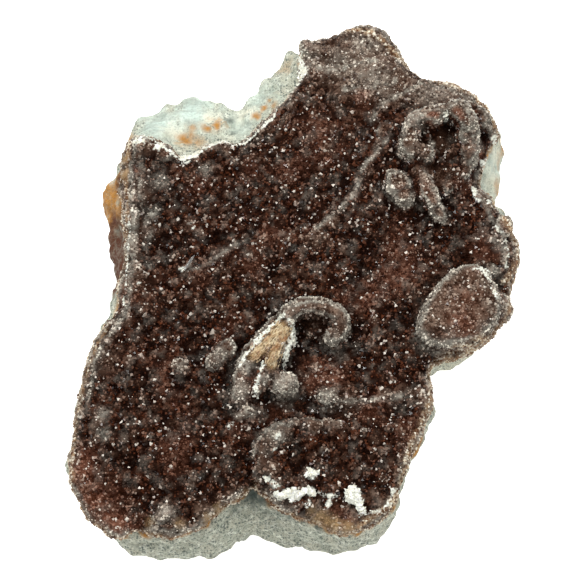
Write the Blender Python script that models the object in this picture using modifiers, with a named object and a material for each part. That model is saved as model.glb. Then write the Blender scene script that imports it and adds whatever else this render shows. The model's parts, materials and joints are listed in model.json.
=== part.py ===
"""A loose hand specimen: a broken slab of pale rock that carries a thick crust of grown-together crystals.

The specimen lies on its back with the crystals up. +Z is up, +X is to the right and +Y points away from
a viewer who stands at its stepped front wall. Every list of places is in millimetres, in plan, and
PLAN_SHIFT moves the middle of the finished specimen over the origin, which is on the floor below it.
"""

import bmesh
import bpy
import numpy as np
from mathutils import Matrix, Vector, noise
from mathutils.bvhtree import BVHTree

MM = 0.001
PLAN_SHIFT = (-3.1, -3.2)

# Heights of the specimen above the floor
CRUST_LEVEL = 24.0
CRUST_THICKNESS = 3.6
CRUST_LIP = 1.5
RIM_ROLL_DEPTH = 3.6
RIM_ROLL_WIDTH = 6.0
ROCK_ROLL_SHARE = 0.6
CRUST_SWELL = 0.9
UNDERSIDE_HOLLOW = 3.0
REST_RADIUS = 14.0
FLOOR_SNAP = 0.45

# The rock narrows towards the floor on every side but the front
TAPER = 0.07
TAPER_TOP = 17.0
TAPER_FROM_Y = -42.0

# Fineness of the surfaces, and how many triangles each piece may have
SLAB_GRAIN = 1.2
CRUST_GRAIN = 0.75
CLUSTER_GRAIN = 0.3
CRUST_TRIANGLES = 5500
ROCK_TRIANGLES = 3400
CLUSTER_TRIANGLES = 150
CLEARANCE = 0.42
SEED = 7

# A slab starts this thick, and its faces are then moved; rays come down from above everything
BLANK_THICKNESS = 10.0
ABOVE_ALL = 60.0

# Natural unevenness: the size of the bumps, and how high they stand
CRUST_BUMPS = ((4.6, 0.6), (2.2, 0.3))
ROCK_HACKLE = ((7.5, 1.3), (3.4, 0.9))
CRUST_SWELL_SIZE = 11.0
HOLLOW_SIZE = 18.0
HOLLOW_STEEPNESS = 1.8
# The rock's hackle fades out over this width at the crust's rim, and over this height at the floor
HACKLE_FADE = 2.0
HACKLE_REACH = 1.5
TAPER_BEND = 1.3
# How softly one shoulder height runs into the next, and the least width of the slope down to it
SHOULDER_BLUR = 0.5
SHOULDER_SHARPNESS = 3
LEAST_SLOPE = 0.2

# Vertices closer than this are one, and round shapes have this many steps
MERGE = 0.01
ROUND_STEPS = 3

# Plan outline of the crust, clockwise from its upper left corner
CRUST_RIM = (
    (-41.0, 39.5), (-38.0, 41.0), (-35.0, 41.0), (-31.5, 39.0), (-28.5, 36.5), (-26.0, 35.0),
    (-23.5, 36.5), (-19.5, 38.5), (-16.5, 40.0), (-13.5, 38.5), (-10.5, 40.0), (-6.5, 45.0),
    (-2.0, 49.5), (1.5, 53.0), (3.0, 57.0), (2.8, 63.0), (4.6, 66.5), (8.0, 67.0), (11.0, 68.0),
    (15.0, 70.2), (19.4, 72.0), (23.3, 71.6), (26.5, 69.6), (28.8, 65.8), (32.3, 58.0),
    (36.0, 56.2), (42.3, 54.6), (47.7, 52.2), (51.3, 49.0), (53.4, 44.8), (54.5, 40.4),
    (52.5, 36.8), (50.4, 33.2), (49.2, 28.5), (50.3, 24.4), (52.4, 21.0), (54.8, 16.8),
    (57.6, 12.3), (58.4, 8.0), (57.2, 3.0), (55.5, -2.0), (54.2, -8.3), (51.1, -12.9),
    (46.0, -17.0), (40.5, -19.1), (36.5, -19.6), (34.5, -22.0), (35.0, -25.4), (35.8, -29.2),
    (34.7, -33.0), (32.4, -38.4), (28.0, -48.2), (26.6, -52.4), (25.6, -56.0), (21.0, -59.4),
    (17.1, -61.8), (14.0, -62.8), (10.2, -61.4), (5.6, -59.4), (0.6, -57.2), (-3.3, -55.1),
    (-6.2, -52.3), (-8.1, -49.8), (-9.5, -51.3), (-14.8, -56.2), (-17.9, -58.4), (-21.0, -60.7),
    (-24.1, -61.9), (-29.3, -63.0), (-33.2, -62.0), (-35.8, -60.6), (-38.0, -62.2),
    (-42.0, -62.6), (-45.9, -59.2), (-50.2, -54.6), (-52.4, -49.8), (-53.4, -43.4),
    (-51.8, -35.6), (-50.5, -24.0), (-49.2, -18.2),
    (-47.2, -13.3), (-44.3, -9.1), (-42.6, -6.4), (-43.0, -2.2), (-42.1, 2.8), (-40.6, 8.4),
    (-41.0, 14.6), (-42.5, 21.0), (-42.7, 32.0),
)

# Plan outline of the rock, which shows past the crust in front and at the upper left, right and left
ROCK_RIM = (
    (-43.7, 46.4), (-39.8, 51.8), (-35.4, 54.8), (-30.6, 56.8), (-26.4, 60.0), (-23.0, 59.6),
    (-19.0, 58.8), (-14.7, 57.2), (-11.7, 58.2), (-6.5, 63.2), (-2.5, 66.6), (0.6, 69.6),
    (6.0, 66.8), (14.0, 69.4), (22.5, 70.6), (27.6, 65.6), (31.4, 57.8), (41.0, 54.4),
    (50.6, 49.8), (54.2, 46.4), (58.3, 41.0), (57.8, 35.8), (55.7, 30.4), (54.9, 26.0),
    (56.6, 20.1), (60.7, 13.5), (60.2, 8.3), (57.7, 2.5), (55.8, -3.3), (53.0, -8.2),
    (49.2, -11.8), (43.8, -14.8), (38.6, -16.6), (35.2, -19.6), (35.8, -24.4), (36.2, -31.0),
    (34.7, -36.0), (31.6, -42.0), (29.5, -47.4), (27.9, -52.4), (26.2, -57.2), (22.4, -60.6),
    (18.1, -62.6), (12.6, -63.6), (8.1, -62.8), (3.1, -61.8), (-0.6, -62.3), (-4.9, -60.0),
    (-9.4, -59.6), (-12.8, -61.8), (-18.1, -65.0), (-25.6, -65.8), (-31.8, -64.9),
    (-36.8, -65.4), (-40.8, -63.8), (-43.9, -60.9), (-47.9, -56.6), (-51.9, -51.4),
    (-54.2, -46.6), (-54.4, -40.5), (-52.8, -33.7), (-51.5, -22.1), (-50.3, -17.0),
    (-48.0, -12.0), (-45.2, -8.0), (-44.4, -2.7), (-44.6, 4.6), (-45.2, 8.7), (-47.2, 14.2),
    (-46.9, 21.1), (-48.6, 26.7), (-47.8, 30.9), (-44.6, 36.0),
)

# Height of the rock at its own outline: x, y, height
ROCK_SHOULDERS = (
    (-42.0, 48.0, 10.5), (-26.0, 60.0, 10.5), (-14.5, 55.0, 9.5), (-4.0, 64.5, 12.0),
    (2.0, 68.0, 14.0), (22.0, 72.0, 14.0), (46.0, 54.0, 14.0), (58.0, 38.0, 12.0),
    (60.5, 12.0, 10.0), (50.0, -14.0, 13.0), (37.0, -26.0, 10.0), (30.0, -47.0, 9.0),
    (15.0, -64.0, 2.2), (-2.0, -60.5, 2.2), (-10.0, -61.5, 2.6), (-24.0, -65.0, 2.2),
    (-43.0, -60.5, 7.0), (-54.5, -42.0, 9.0), (-50.0, -17.0, 11.0), (-44.5, 0.0, 13.0),
    (-47.5, 16.0, 12.5), (-48.0, 26.7, 11.0),
)

# Broad swells and hollows of the crust and of the rock under it: x, y, radius, rise
SWELLS = (
    (-30.0, -24.0, 20.0, 2.0), (-43.0, -57.0, 10.0, -3.2), (-50.0, -42.0, 8.0, -1.8),
    (18.0, 60.0, 15.0, 2.4), (38.0, 36.0, 14.0, 3.2), (44.0, -4.0, 15.0, 1.4),
    (12.0, -46.0, 15.0, 1.4), (0.0, 26.0, 15.0, -1.4), (-28.0, 24.0, 12.0, -0.8),
    (24.0, 0.0, 12.0, -0.6), (-14.5, 47.0, 3.0, -2.6),
)

# Crests of the crust: a line, the rise, and how far it reaches to the line's left and right
CRESTS = (
    (((4.4, 9.7), (10.6, 16.9), (15.4, 21.1), (18.3, 26.5), (21.9, 34.7), (24.6, 40.2),
      (30.8, 44.1), (36.6, 49.6)), 2.3, 1.5, 13.0),
    (((-25.4, 0.3), (-21.7, 2.4), (-15.6, 8.2), (-10.6, 9.5), (3.1, 14.0)), 1.3, 2.0, 7.0),
    (((3.2, 59.0), (8.4, 58.0), (13.8, 55.9), (17.4, 57.7), (22.6, 59.4), (27.9, 57.7)), 1.8, 1.6, 5.0),
    (((13.5, 50.0), (18.1, 52.0), (21.7, 52.3), (26.0, 50.0)), 1.2, 2.5, 3.0),
    (((33.9, -29.5), (24.7, -30.5), (18.7, -30.9), (13.9, -30.5), (9.0, -29.6)), 1.6, 1.3, 7.0),
    (((-6.3, -48.5), (-6.3, -42.7), (-4.4, -39.3), (-0.8, -36.4), (5.0, -35.6)), 2.6, 1.8, 8.0),
    (((-39.8, 37.3), (-37.4, 31.0), (-37.2, 26.0), (-38.8, 20.0), (-38.4, 12.0), (-37.6, 0.0)),
     1.5, 2.6, 2.6),
    (((50.1, 22.2), (52.7, 17.9), (55.0, 12.6), (56.0, 7.3)), 1.4, 2.2, 2.2),
    (((4.0, 61.6), (7.9, 60.6), (12.5, 59.0)), -2.2, 1.4, 1.4),
)

# Small hollows of the crust: x, y, radius, depth
PITS = (
    (39.0, 35.4, 3.6, 1.8), (49.0, 35.0, 2.8, 1.6), (31.6, 22.2, 1.6, 2.0), (8.0, -12.0, 3.2, 1.8),
    (-7.6, -24.4, 1.8, 1.6), (-30.8, 11.0, 4.0, 1.5), (48.6, 26.4, 1.5, 3.0), (50.5, -0.5, 3.0, 1.6),
    (29.5, -9.0, 3.5, 1.4), (-3.4, -32.0, 3.6, 1.4),
)

# Lumps of the crust: x, y, z of the middle, then the three radii
LUMPS = (
    (30.9, 34.2, 29.2, 2.9, 3.0, 3.0), (34.7, 32.8, 28.4, 2.3, 2.3, 2.8),
    (43.2, 34.8, 26.6, 2.4, 4.2, 2.4), (41.6, 29.4, 26.8, 2.0, 1.8, 1.8),
    (40.4, 24.8, 26.4, 2.0, 2.0, 1.8), (27.3, 24.6, 28.4, 3.0, 3.6, 3.2),
    (29.2, 20.9, 27.4, 2.4, 2.5, 2.6), (26.4, 27.0, 27.8, 1.8, 1.7, 2.0),
    (41.4, -10.6, 27.2, 9.4, 7.8, 5.4), (45.4, -4.4, 27.2, 6.2, 7.0, 5.4),
    (52.4, -7.4, 26.0, 3.0, 3.6, 3.4), (50.6, 2.6, 26.2, 1.7, 1.7, 1.7),
    (-0.6, -27.0, 27.6, 3.4, 3.3, 3.3), (-11.3, -28.9, 26.6, 2.4, 2.6, 2.4),
    (-9.9, -23.2, 27.4, 2.2, 2.4, 2.2), (-9.5, -33.1, 25.8, 1.8, 1.8, 1.8),
    (-11.8, -34.5, 25.4, 1.3, 1.3, 1.4), (-5.0, -23.9, 26.6, 2.0, 2.2, 2.2),
    (-0.4, -14.2, 27.2, 2.2, 2.2, 2.8), (-0.4, -16.6, 26.8, 1.9, 2.2, 2.6),
    (-1.6, -19.6, 26.6, 1.7, 2.2, 2.4), (11.3, -15.1, 26.6, 2.5, 2.3, 2.6),
    (9.5, -29.6, 26.4, 2.5, 2.1, 2.0), (6.6, -13.0, 25.4, 2.6, 2.0, 1.6),
    (-1.8, -39.8, 27.2, 2.8, 2.6, 2.2), (-29.0, -57.2, 22.6, 2.6, 2.6, 2.8),
    (-31.6, -58.4, 21.8, 1.6, 1.6, 1.8), (-17.7, -20.6, 26.6, 2.6, 2.4, 1.8),
    (-14.6, -17.8, 26.4, 2.4, 2.4, 2.2), (-26.2, -21.8, 26.6, 2.4, 2.0, 1.4),
    (-37.6, 35.4, 24.4, 2.6, 3.4, 2.4), (-31.6, 34.6, 24.4, 3.2, 2.4, 2.0),
    (5.4, 64.2, 24.2, 2.6, 2.2, 2.6), (-39.0, 17.4, 24.2, 2.6, 3.6, 2.6),
    (-38.6, 9.6, 24.0, 2.2, 3.0, 2.2), (54.6, 14.0, 25.2, 2.4, 3.4, 2.4),
    (49.0, 42.6, 26.4, 3.0, 3.2, 2.6),
)

# Limbs of the crust: points with x, y, z and the radius there
KNOT_LEFT = (
    (31.0, 34.5, 29.6, 2.5), (30.8, 37.3, 30.2, 2.3), (31.8, 40.1, 31.2, 2.4), (34.0, 41.6, 32.2, 2.3),
    (36.5, 41.5, 33.0, 2.4), (39.1, 42.4, 31.8, 2.0), (41.3, 43.2, 32.2, 2.0),
)
KNOT_CAP = ((41.0, 43.5, 33.2, 1.9), (42.7, 41.7, 33.8, 2.1), (44.4, 39.5, 33.0, 2.0))
KNOT_RIGHT = (
    (43.7, 43.6, 31.4, 2.6), (45.2, 40.6, 31.2, 2.9), (45.5, 37.3, 30.2, 2.9), (45.6, 34.3, 28.8, 2.7),
    (45.5, 31.5, 27.2, 2.4), (44.4, 27.4, 26.0, 2.0),
)
LOWER_LIMB = (
    (32.6, 30.4, 27.8, 1.9), (33.2, 27.3, 28.2, 2.3), (34.4, 24.0, 28.2, 2.4), (35.8, 20.7, 27.8, 2.3),
    (37.6, 17.5, 27.0, 2.1), (38.9, 15.3, 25.8, 1.7),
)
HOOK = (
    (-11.5, -28.6, 26.4, 2.2), (-11.2, -25.7, 27.0, 2.0), (-10.3, -22.7, 27.6, 2.2),
    (-8.6, -19.6, 28.4, 2.4),
    (-5.9, -16.5, 29.0, 2.6), (-3.0, -13.4, 29.4, 2.7), (-0.4, -10.7, 29.6, 2.6), (2.8, -8.7, 29.8, 2.5),
    (6.2, -7.9, 29.6, 2.5), (9.6, -8.3, 29.2, 2.5), (12.3, -9.9, 28.6, 2.5), (13.0, -12.6, 27.6, 2.4),
    (11.3, -15.1, 26.8, 2.3),
)
HOOK_BRANCH = (
    (-2.6, -15.8, 28.8, 2.4), (-3.9, -19.2, 28.6, 2.2), (-4.7, -22.1, 28.2, 2.2), (-5.7, -25.2, 27.6, 2.0),
    (-6.9, -28.1, 26.6, 1.5),
)
LIMBS = (KNOT_LEFT, KNOT_CAP, KNOT_RIGHT, LOWER_LIMB, HOOK, HOOK_BRANCH)
# A limb is a wall that grew from the crust, so the same limb is repeated this much lower
LIMB_ROOTS = (0.0, 2.2, 4.4)

# The oval lump, a flat cap with an overhanging round edge
OVAL_RIM = (
    (44.6, 2.7), (48.4, 0.7), (51.6, -4.7), (50.9, -11.3), (47.6, -15.6), (42.4, -17.9),
    (36.9, -18.6), (32.6, -16.1), (31.5, -12.1), (33.8, -7.3), (36.9, -2.2), (40.4, 0.9),
)
OVAL_LOW = 27.0
OVAL_HIGH = 33.4
OVAL_EDGE = 2.4

# Planes that broke the specimen's tops off flat: a point, the outward direction, and the reach in plan
BREAKS = (
    ((-5.0, -17.4, 30.0), (-0.25, 0.2, 1.0), 7.5),
    ((36.5, 41.4, 34.5), (-0.1, -0.35, 1.0), 3.2),
    ((42.7, 41.6, 35.0), (0.35, 0.1, 1.0), 3.6),
)

# White clusters on the crust: name, then the places of its blocks with x, y and the block's size
WHITE_CLUSTERS = (
    ("white_cluster_large", (
        (15.0, -53.0, 1.8), (16.4, -52.8, 1.6), (15.8, -54.2, 2.2), (16.8, -54.8, 1.6), (14.7, -54.4, 1.5),
        (17.0, -56.2, 1.3), (17.6, -57.3, 1.3), (15.4, -51.8, 1.2),
    )),
    ("white_cluster_strip", (
        (-2.4, -53.2, 1.2), (-1.2, -53.6, 1.3), (0.2, -53.0, 1.5), (1.6, -52.3, 1.3), (2.4, -53.5, 1.5),
        (3.8, -52.6, 1.3), (5.1, -52.2, 1.3), (6.1, -53.2, 1.2), (1.0, -54.4, 1.3),
    )),
    ("white_cluster_chip", ((4.6, -48.7, 1.1), (5.5, -48.3, 1.4), (6.5, -48.5, 1.3), (7.2, -48.2, 1.0))),
)
# A block sits with its middle this far above the crust
BLOCK_LIFT = 0.45

DRUSE_COLOUR = (0.075, 0.034, 0.024, 1.0)
ROCK_COLOUR = (0.47, 0.53, 0.44, 1.0)
WHITE_COLOUR = (0.82, 0.83, 0.74, 1.0)


def clear_scene():
    for item in list(bpy.data.objects):
        bpy.data.objects.remove(item, do_unlink=True)


def new_collection(name, is_helper=False):
    collection = bpy.data.collections.new(name)
    bpy.context.scene.collection.children.link(collection)
    collection.hide_render = is_helper
    return collection


def new_material(name, colour, roughness):
    material = bpy.data.materials.new(name)
    material.use_nodes = True
    shader = material.node_tree.nodes["Principled BSDF"]
    shader.inputs["Base Color"].default_value = colour
    shader.inputs["Roughness"].default_value = roughness
    shader.inputs["Metallic"].default_value = 0.0
    material.diffuse_color = colour
    return material


def read_points(mesh):
    """The vertices as an array, in millimetres."""
    flat = np.empty(len(mesh.vertices) * 3)
    mesh.vertices.foreach_get("co", flat)
    return flat.reshape(-1, 3) / MM


def write_points(mesh, points):
    mesh.vertices.foreach_set("co", (points * MM).ravel())
    mesh.update()


def vertex_normals(mesh):
    flat = np.empty(len(mesh.vertices) * 3)
    mesh.vertex_normals.foreach_get("vector", flat)
    return flat.reshape(-1, 3)


def triangle_count(mesh):
    mesh.calc_loop_triangles()
    return len(mesh.loop_triangles)


def new_object(name, mesh):
    item = bpy.data.objects.new(name, mesh)
    bpy.context.scene.collection.objects.link(item)
    return item


def mesh_from(item, name):
    """A new mesh object with what the item's curve or modifiers make, and the item removed."""
    graph = bpy.context.evaluated_depsgraph_get()
    mesh = bpy.data.meshes.new_from_object(item.evaluated_get(graph))
    mesh.transform(item.matrix_world)
    bpy.data.objects.remove(item, do_unlink=True)
    shape = bmesh.new()
    shape.from_mesh(mesh)
    bmesh.ops.remove_doubles(shape, verts=shape.verts, dist=MERGE * MM)
    shape.to_mesh(mesh)
    shape.free()
    return new_object(name, mesh)


def remeshed(item, grain):
    """The item as one even closed skin, which also joins shapes that overlap."""
    name = item.name
    remesh = item.modifiers.new("Even skin", "REMESH")
    remesh.mode = "VOXEL"
    remesh.voxel_size = grain * MM
    remesh.adaptivity = 0.0
    return mesh_from(item, name)


def decimated(item, triangles):
    name = item.name
    decimate = item.modifiers.new("Fewer faces", "DECIMATE")
    decimate.ratio = min(1.0, triangles / triangle_count(item.data))
    decimate.use_collapse_triangulate = True
    return mesh_from(item, name)


def joined(items, name):
    """One object that holds the items' faces; the items are removed."""
    shape = bmesh.new()
    for item in items:
        shape.from_mesh(item.data)
        bpy.data.objects.remove(item, do_unlink=True)
    mesh = bpy.data.meshes.new(name)
    shape.to_mesh(mesh)
    shape.free()
    return new_object(name, mesh)


def without(item, cutter, cutters):
    """The item less the cutter, which stays in the scene as a hidden helper."""
    name = item.name
    cutter.hide_render = True
    cutter.display_type = "WIRE"
    bpy.context.scene.collection.objects.unlink(cutter)
    cutters.objects.link(cutter)
    cut = item.modifiers.new("Clearance", "BOOLEAN")
    cut.operation = "DIFFERENCE"
    cut.solver = "EXACT"
    cut.use_self = True
    cut.object = cutter
    return largest_body(mesh_from(item, name))


def largest_body(item):
    """The item with every loose part removed but the one with the most vertices."""
    shape = bmesh.new()
    shape.from_mesh(item.data)
    left = set(shape.verts)
    bodies = []
    while left:
        body = {left.pop()}
        front = list(body)
        while front:
            vertex = front.pop()
            near = {edge.other_vert(vertex) for edge in vertex.link_edges} - body
            body |= near
            front.extend(near)
        left -= body
        bodies.append(body)
    bodies.sort(key=len)
    for body in bodies[:-1]:
        bmesh.ops.delete(shape, geom=list(body), context="VERTS")
    shape.to_mesh(item.data)
    shape.free()
    return item


def grown(item, distance, name):
    """A copy of the item, larger by the distance on every side."""
    mesh = item.data.copy()
    write_points(mesh, read_points(mesh) + vertex_normals(mesh) * distance)
    return new_object(name, mesh)


def smooth_loop(corners, steps=ROUND_STEPS):
    """A closed curve through the corners, as plan positions."""
    first = np.array(corners)
    before = np.roll(first, 1, axis=0)
    second = np.roll(first, -1, axis=0)
    third = np.roll(first, -2, axis=0)
    stages = []
    for share in np.arange(steps) / steps:
        straight = 2 * first + (second - before) * share
        bend = (2 * before - 5 * first + 4 * second - third) * share**2
        twist = (3 * first - before - 3 * second + third) * share**3
        stages.append(0.5 * (straight + bend + twist))
    return np.stack(stages, axis=1).reshape(-1, 2)


def slab(name, corners, low, high, edge=0.0):
    """A flat outline, filled and extruded from low to high, with its edges rounded by edge."""
    curve = bpy.data.curves.new(name, "CURVE")
    curve.dimensions = "2D"
    curve.fill_mode = "BOTH"
    curve.extrude = ((high - low) / 2 - edge) * MM
    curve.bevel_depth = edge * MM
    curve.bevel_resolution = ROUND_STEPS
    curve.offset = -edge * MM
    loop = smooth_loop(corners)[::-1]
    spline = curve.splines.new("POLY")
    spline.points.add(len(loop) - 1)
    for point, (x, y) in zip(spline.points, loop):
        point.co = (x * MM, y * MM, 0.0, 1.0)
    spline.use_cyclic_u = True
    guide = new_object(name, curve)
    guide.location.z = (low + high) / 2 * MM
    bpy.context.view_layer.update()
    return mesh_from(guide, name)


def limb(name, points):
    """A bent finger of changing thickness, from points with x, y, z and radius."""
    curve = bpy.data.curves.new(name, "CURVE")
    curve.dimensions = "3D"
    curve.bevel_depth = MM
    curve.bevel_resolution = ROUND_STEPS
    curve.resolution_u = 4
    curve.use_fill_caps = True
    spline = curve.splines.new("BEZIER")
    spline.bezier_points.add(len(points) - 1)
    for knot, (x, y, z, radius) in zip(spline.bezier_points, points):
        knot.co = Vector((x, y, z)) * MM
        knot.radius = radius
        knot.handle_left_type = "AUTO"
        knot.handle_right_type = "AUTO"
    tube = mesh_from(new_object(name, curve), name)
    ends = [blob(name + "_end", points[i][:3], [points[i][3]] * 3) for i in (0, -1)]
    return [tube, *ends]


def blob(name, middle, radii):
    mesh = bpy.data.meshes.new(name)
    shape = bmesh.new()
    bmesh.ops.create_icosphere(shape, subdivisions=ROUND_STEPS, radius=MM)
    bmesh.ops.scale(shape, verts=shape.verts, vec=radii)
    bmesh.ops.translate(shape, verts=shape.verts, vec=Vector(middle) * MM)
    shape.to_mesh(mesh)
    shape.free()
    return new_object(name, mesh)


def inside_distance(plan, loop):
    """How far each plan position lies inside the loop, negative where it lies outside."""
    nearest = np.full(len(plan), np.inf)
    inside = np.zeros(len(plan), bool)
    for (x, y), (run, climb) in zip(loop, np.roll(loop, -1, axis=0) - loop):
        across = plan[:, 0] - x
        up = plan[:, 1] - y
        share = np.clip((across * run + up * climb) / (run * run + climb * climb), 0, 1)
        nearest = np.minimum(nearest, np.hypot(across - share * run, up - share * climb))
        spans = (up < 0) != (up < climb)
        if climb:
            inside ^= spans & (across < up * run / climb)
    return np.where(inside, nearest, -nearest)


def beside_line(plan, line):
    """The distance of each plan position to an open line, positive on the line's left."""
    nearest = np.full(len(plan), np.inf)
    signed = np.zeros(len(plan))
    for (x, y), (end_x, end_y) in zip(line, line[1:]):
        run, climb = end_x - x, end_y - y
        across = plan[:, 0] - x
        up = plan[:, 1] - y
        share = np.clip((across * run + up * climb) / (run * run + climb * climb), 0, 1)
        distance = np.hypot(across - share * run, up - share * climb)
        left = np.where(run * up - climb * across > 0, distance, -distance)
        closer = distance < nearest
        signed = np.where(closer, left, signed)
        nearest = np.where(closer, distance, nearest)
    return signed


def bumps(plan, places):
    """Round swells, each with a place, a radius and a rise, added up."""
    total = np.zeros(len(plan))
    for x, y, radius, rise in places:
        reach = np.hypot(plan[:, 0] - x, plan[:, 1] - y) / radius
        total += rise * np.exp(-(reach**2))
    return total


def crests(plan):
    total = np.zeros(len(plan))
    for line, rise, left_reach, right_reach in CRESTS:
        side = beside_line(plan, line)
        reach = np.where(side > 0, side / left_reach, side / right_reach)
        total += rise * np.exp(-(reach**2))
    return total


def roughness(points, size):
    """Smooth noise between about -1 and 1 at each point, with bumps of the size given."""
    shift = Vector((SEED + size, SEED - size, SEED))
    return np.array([noise.noise(Vector(point) / size + shift) for point in points])


def unevenness(points, layers):
    """Bumps of several sizes and heights, added up."""
    return sum(height * roughness(points, size) for size, height in layers)


def rim_roll(inside):
    """How far the crust's top drops towards its rim, for a distance inside the rim."""
    share = np.clip(1 - inside / RIM_ROLL_WIDTH, 0, 1)
    return RIM_ROLL_DEPTH * (1 - np.sqrt(1 - share**2))


def crust_top(plan, inside):
    level = np.column_stack([plan, np.zeros(len(plan))])
    height = CRUST_LEVEL + bumps(plan, SWELLS) + crests(plan)
    height += CRUST_SWELL * roughness(level, CRUST_SWELL_SIZE)
    for x, y, radius, depth in PITS:
        height -= bumps(plan, ((x, y, radius, depth),))
    return height - rim_roll(inside)


def shoulder_height(plan):
    """The rock's height at its outline, blended between the places that state one."""
    total = np.zeros(len(plan))
    weights = np.zeros(len(plan))
    for x, y, height in ROCK_SHOULDERS:
        away = np.hypot(plan[:, 0] - x, plan[:, 1] - y) + SHOULDER_BLUR
        weight = away**-SHOULDER_SHARPNESS
        total += weight * height
        weights += weight
    return total / weights


def rock_top(plan, inside_crust, inside_rock):
    """The rock's height: the crust's underside, and past the crust a slope down to the shoulder."""
    covered = CRUST_LEVEL - CRUST_THICKNESS + bumps(plan, SWELLS)
    covered = covered - ROCK_ROLL_SHARE * rim_roll(np.maximum(inside_crust, 0))
    past = np.maximum(-inside_crust, 0)
    share = past / (past + np.maximum(inside_rock, 0) + LEAST_SLOPE)
    return covered + (shoulder_height(plan) - covered) * share


def shaped_slab(name, corners, low, high):
    """A slab whose faces follow two functions of the plan position."""
    item = remeshed(slab(name, corners, 0.0, BLANK_THICKNESS), SLAB_GRAIN)
    points = read_points(item.data)
    share = np.clip(points[:, 2] / BLANK_THICKNESS, 0, 1)
    plan = points[:, :2]
    points[:, 2] = low(plan) + (high(plan) - low(plan)) * share
    write_points(item.data, points)
    return item


def make_rock():
    crust_loop = smooth_loop(CRUST_RIM)
    rock_loop = smooth_loop(ROCK_RIM)

    def underside(plan):
        flat = np.column_stack([plan, np.zeros(len(plan))])
        swing = roughness(flat, HOLLOW_SIZE)
        from_rest = np.hypot(plan[:, 0] + PLAN_SHIFT[0], plan[:, 1] + PLAN_SHIFT[1])
        fade = np.clip(from_rest / REST_RADIUS - 1, 0, 1)
        return UNDERSIDE_HOLLOW * fade * np.clip(HOLLOW_STEEPNESS * swing, 0, 1)

    def top(plan):
        return rock_top(plan, inside_distance(plan, crust_loop), inside_distance(plan, rock_loop))

    rock = remeshed(shaped_slab("matrix", ROCK_RIM, underside, top), SLAB_GRAIN)
    points = read_points(rock.data)
    inside = inside_distance(points[:, :2], crust_loop)
    bare = np.clip((HACKLE_REACH - inside) / HACKLE_FADE, 0, 1) * np.clip(points[:, 2] / HACKLE_FADE, 0, 1)
    hackle = bare * unevenness(points, ROCK_HACKLE)
    points += vertex_normals(rock.data) * hackle[:, None]
    points[:, 2] = np.maximum(points[:, 2], 0)
    draw_in = TAPER * np.clip(1 - points[:, 2] / TAPER_TOP, 0, 1) ** TAPER_BEND
    points[:, 0] -= draw_in * points[:, 0]
    points[:, 1] -= draw_in * np.maximum(points[:, 1] - TAPER_FROM_Y, 0)
    write_points(rock.data, points)
    rock = decimated(rock, ROCK_TRIANGLES)
    points = read_points(rock.data)
    points[:, 2] = np.where(points[:, 2] < FLOOR_SNAP, 0.0, points[:, 2])
    write_points(rock.data, points)
    return rock


def break_flat(points):
    """Presses what stands above each break onto its plane."""
    for place, direction, reach in BREAKS:
        outward = np.array(direction) / np.linalg.norm(direction)
        offset = points - np.array(place)
        above = np.maximum(offset @ outward, 0)
        near = np.hypot(offset[:, 0], offset[:, 1]) < reach
        points -= np.where(near, above, 0)[:, None] * outward
    return points


def make_crust(rock, cutters):
    crust_loop = smooth_loop(CRUST_RIM)
    rock_loop = smooth_loop(ROCK_RIM)

    def underside(plan):
        inside = inside_distance(plan, crust_loop)
        return rock_top(plan, inside, inside_distance(plan, rock_loop)) - CRUST_LIP

    def top(plan):
        return crust_top(plan, np.maximum(inside_distance(plan, crust_loop), 0))

    shapes = [shaped_slab("druse_crust", CRUST_RIM, underside, top)]
    shapes += [blob("lump", lump[:3], lump[3:]) for lump in LUMPS]
    for points in LIMBS:
        for sink in LIMB_ROOTS:
            shapes += limb("limb", [(x, y, z - sink, radius) for x, y, z, radius in points])
    shapes.append(slab("oval", OVAL_RIM, OVAL_LOW, OVAL_HIGH, edge=OVAL_EDGE))
    crust = remeshed(joined(shapes, "druse_crust"), CRUST_GRAIN)
    points = read_points(crust.data)
    points += vertex_normals(crust.data) * unevenness(points, CRUST_BUMPS)[:, None]
    write_points(crust.data, break_flat(points))
    crust = decimated(crust, CRUST_TRIANGLES)
    return without(crust, grown(rock, CLEARANCE, "rock_clearance"), cutters)


def make_cluster(name, blocks, crust, cutters, draw):
    """A patch of small blocky crystals, grown into one body, that stands on the crust."""
    bpy.context.view_layer.update()
    surface = BVHTree.FromObject(crust, bpy.context.evaluated_depsgraph_get())
    shape = bmesh.new()
    for x, y, size in blocks:
        hit = surface.ray_cast(Vector((x, y, ABOVE_ALL)) * MM, Vector((0, 0, -1)))[0]
        spin = Matrix.Rotation(draw.uniform(0, np.pi), 4, Vector(draw.normal(size=3)).normalized())
        place_at = Matrix.Translation(hit + Vector((0.0, 0.0, BLOCK_LIFT * MM)))
        bmesh.ops.create_cube(shape, size=size * MM, matrix=place_at @ spin)
    mesh = bpy.data.meshes.new(name)
    shape.to_mesh(mesh)
    shape.free()
    grown_together = largest_body(remeshed(new_object(name, mesh), CLUSTER_GRAIN))
    cluster = decimated(grown_together, CLUSTER_TRIANGLES)
    return without(cluster, grown(crust, CLEARANCE, name + "_clearance"), cutters)


def finish(item, material, collection):
    """Moves the item to its place over the origin, and gives it its material and collection."""
    points = read_points(item.data)
    points[:, :2] += PLAN_SHIFT
    write_points(item.data, points)
    item.data.shade_flat()
    item.data.materials.clear()
    item.data.materials.append(material)
    bpy.context.scene.collection.objects.unlink(item)
    collection.objects.link(item)


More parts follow.
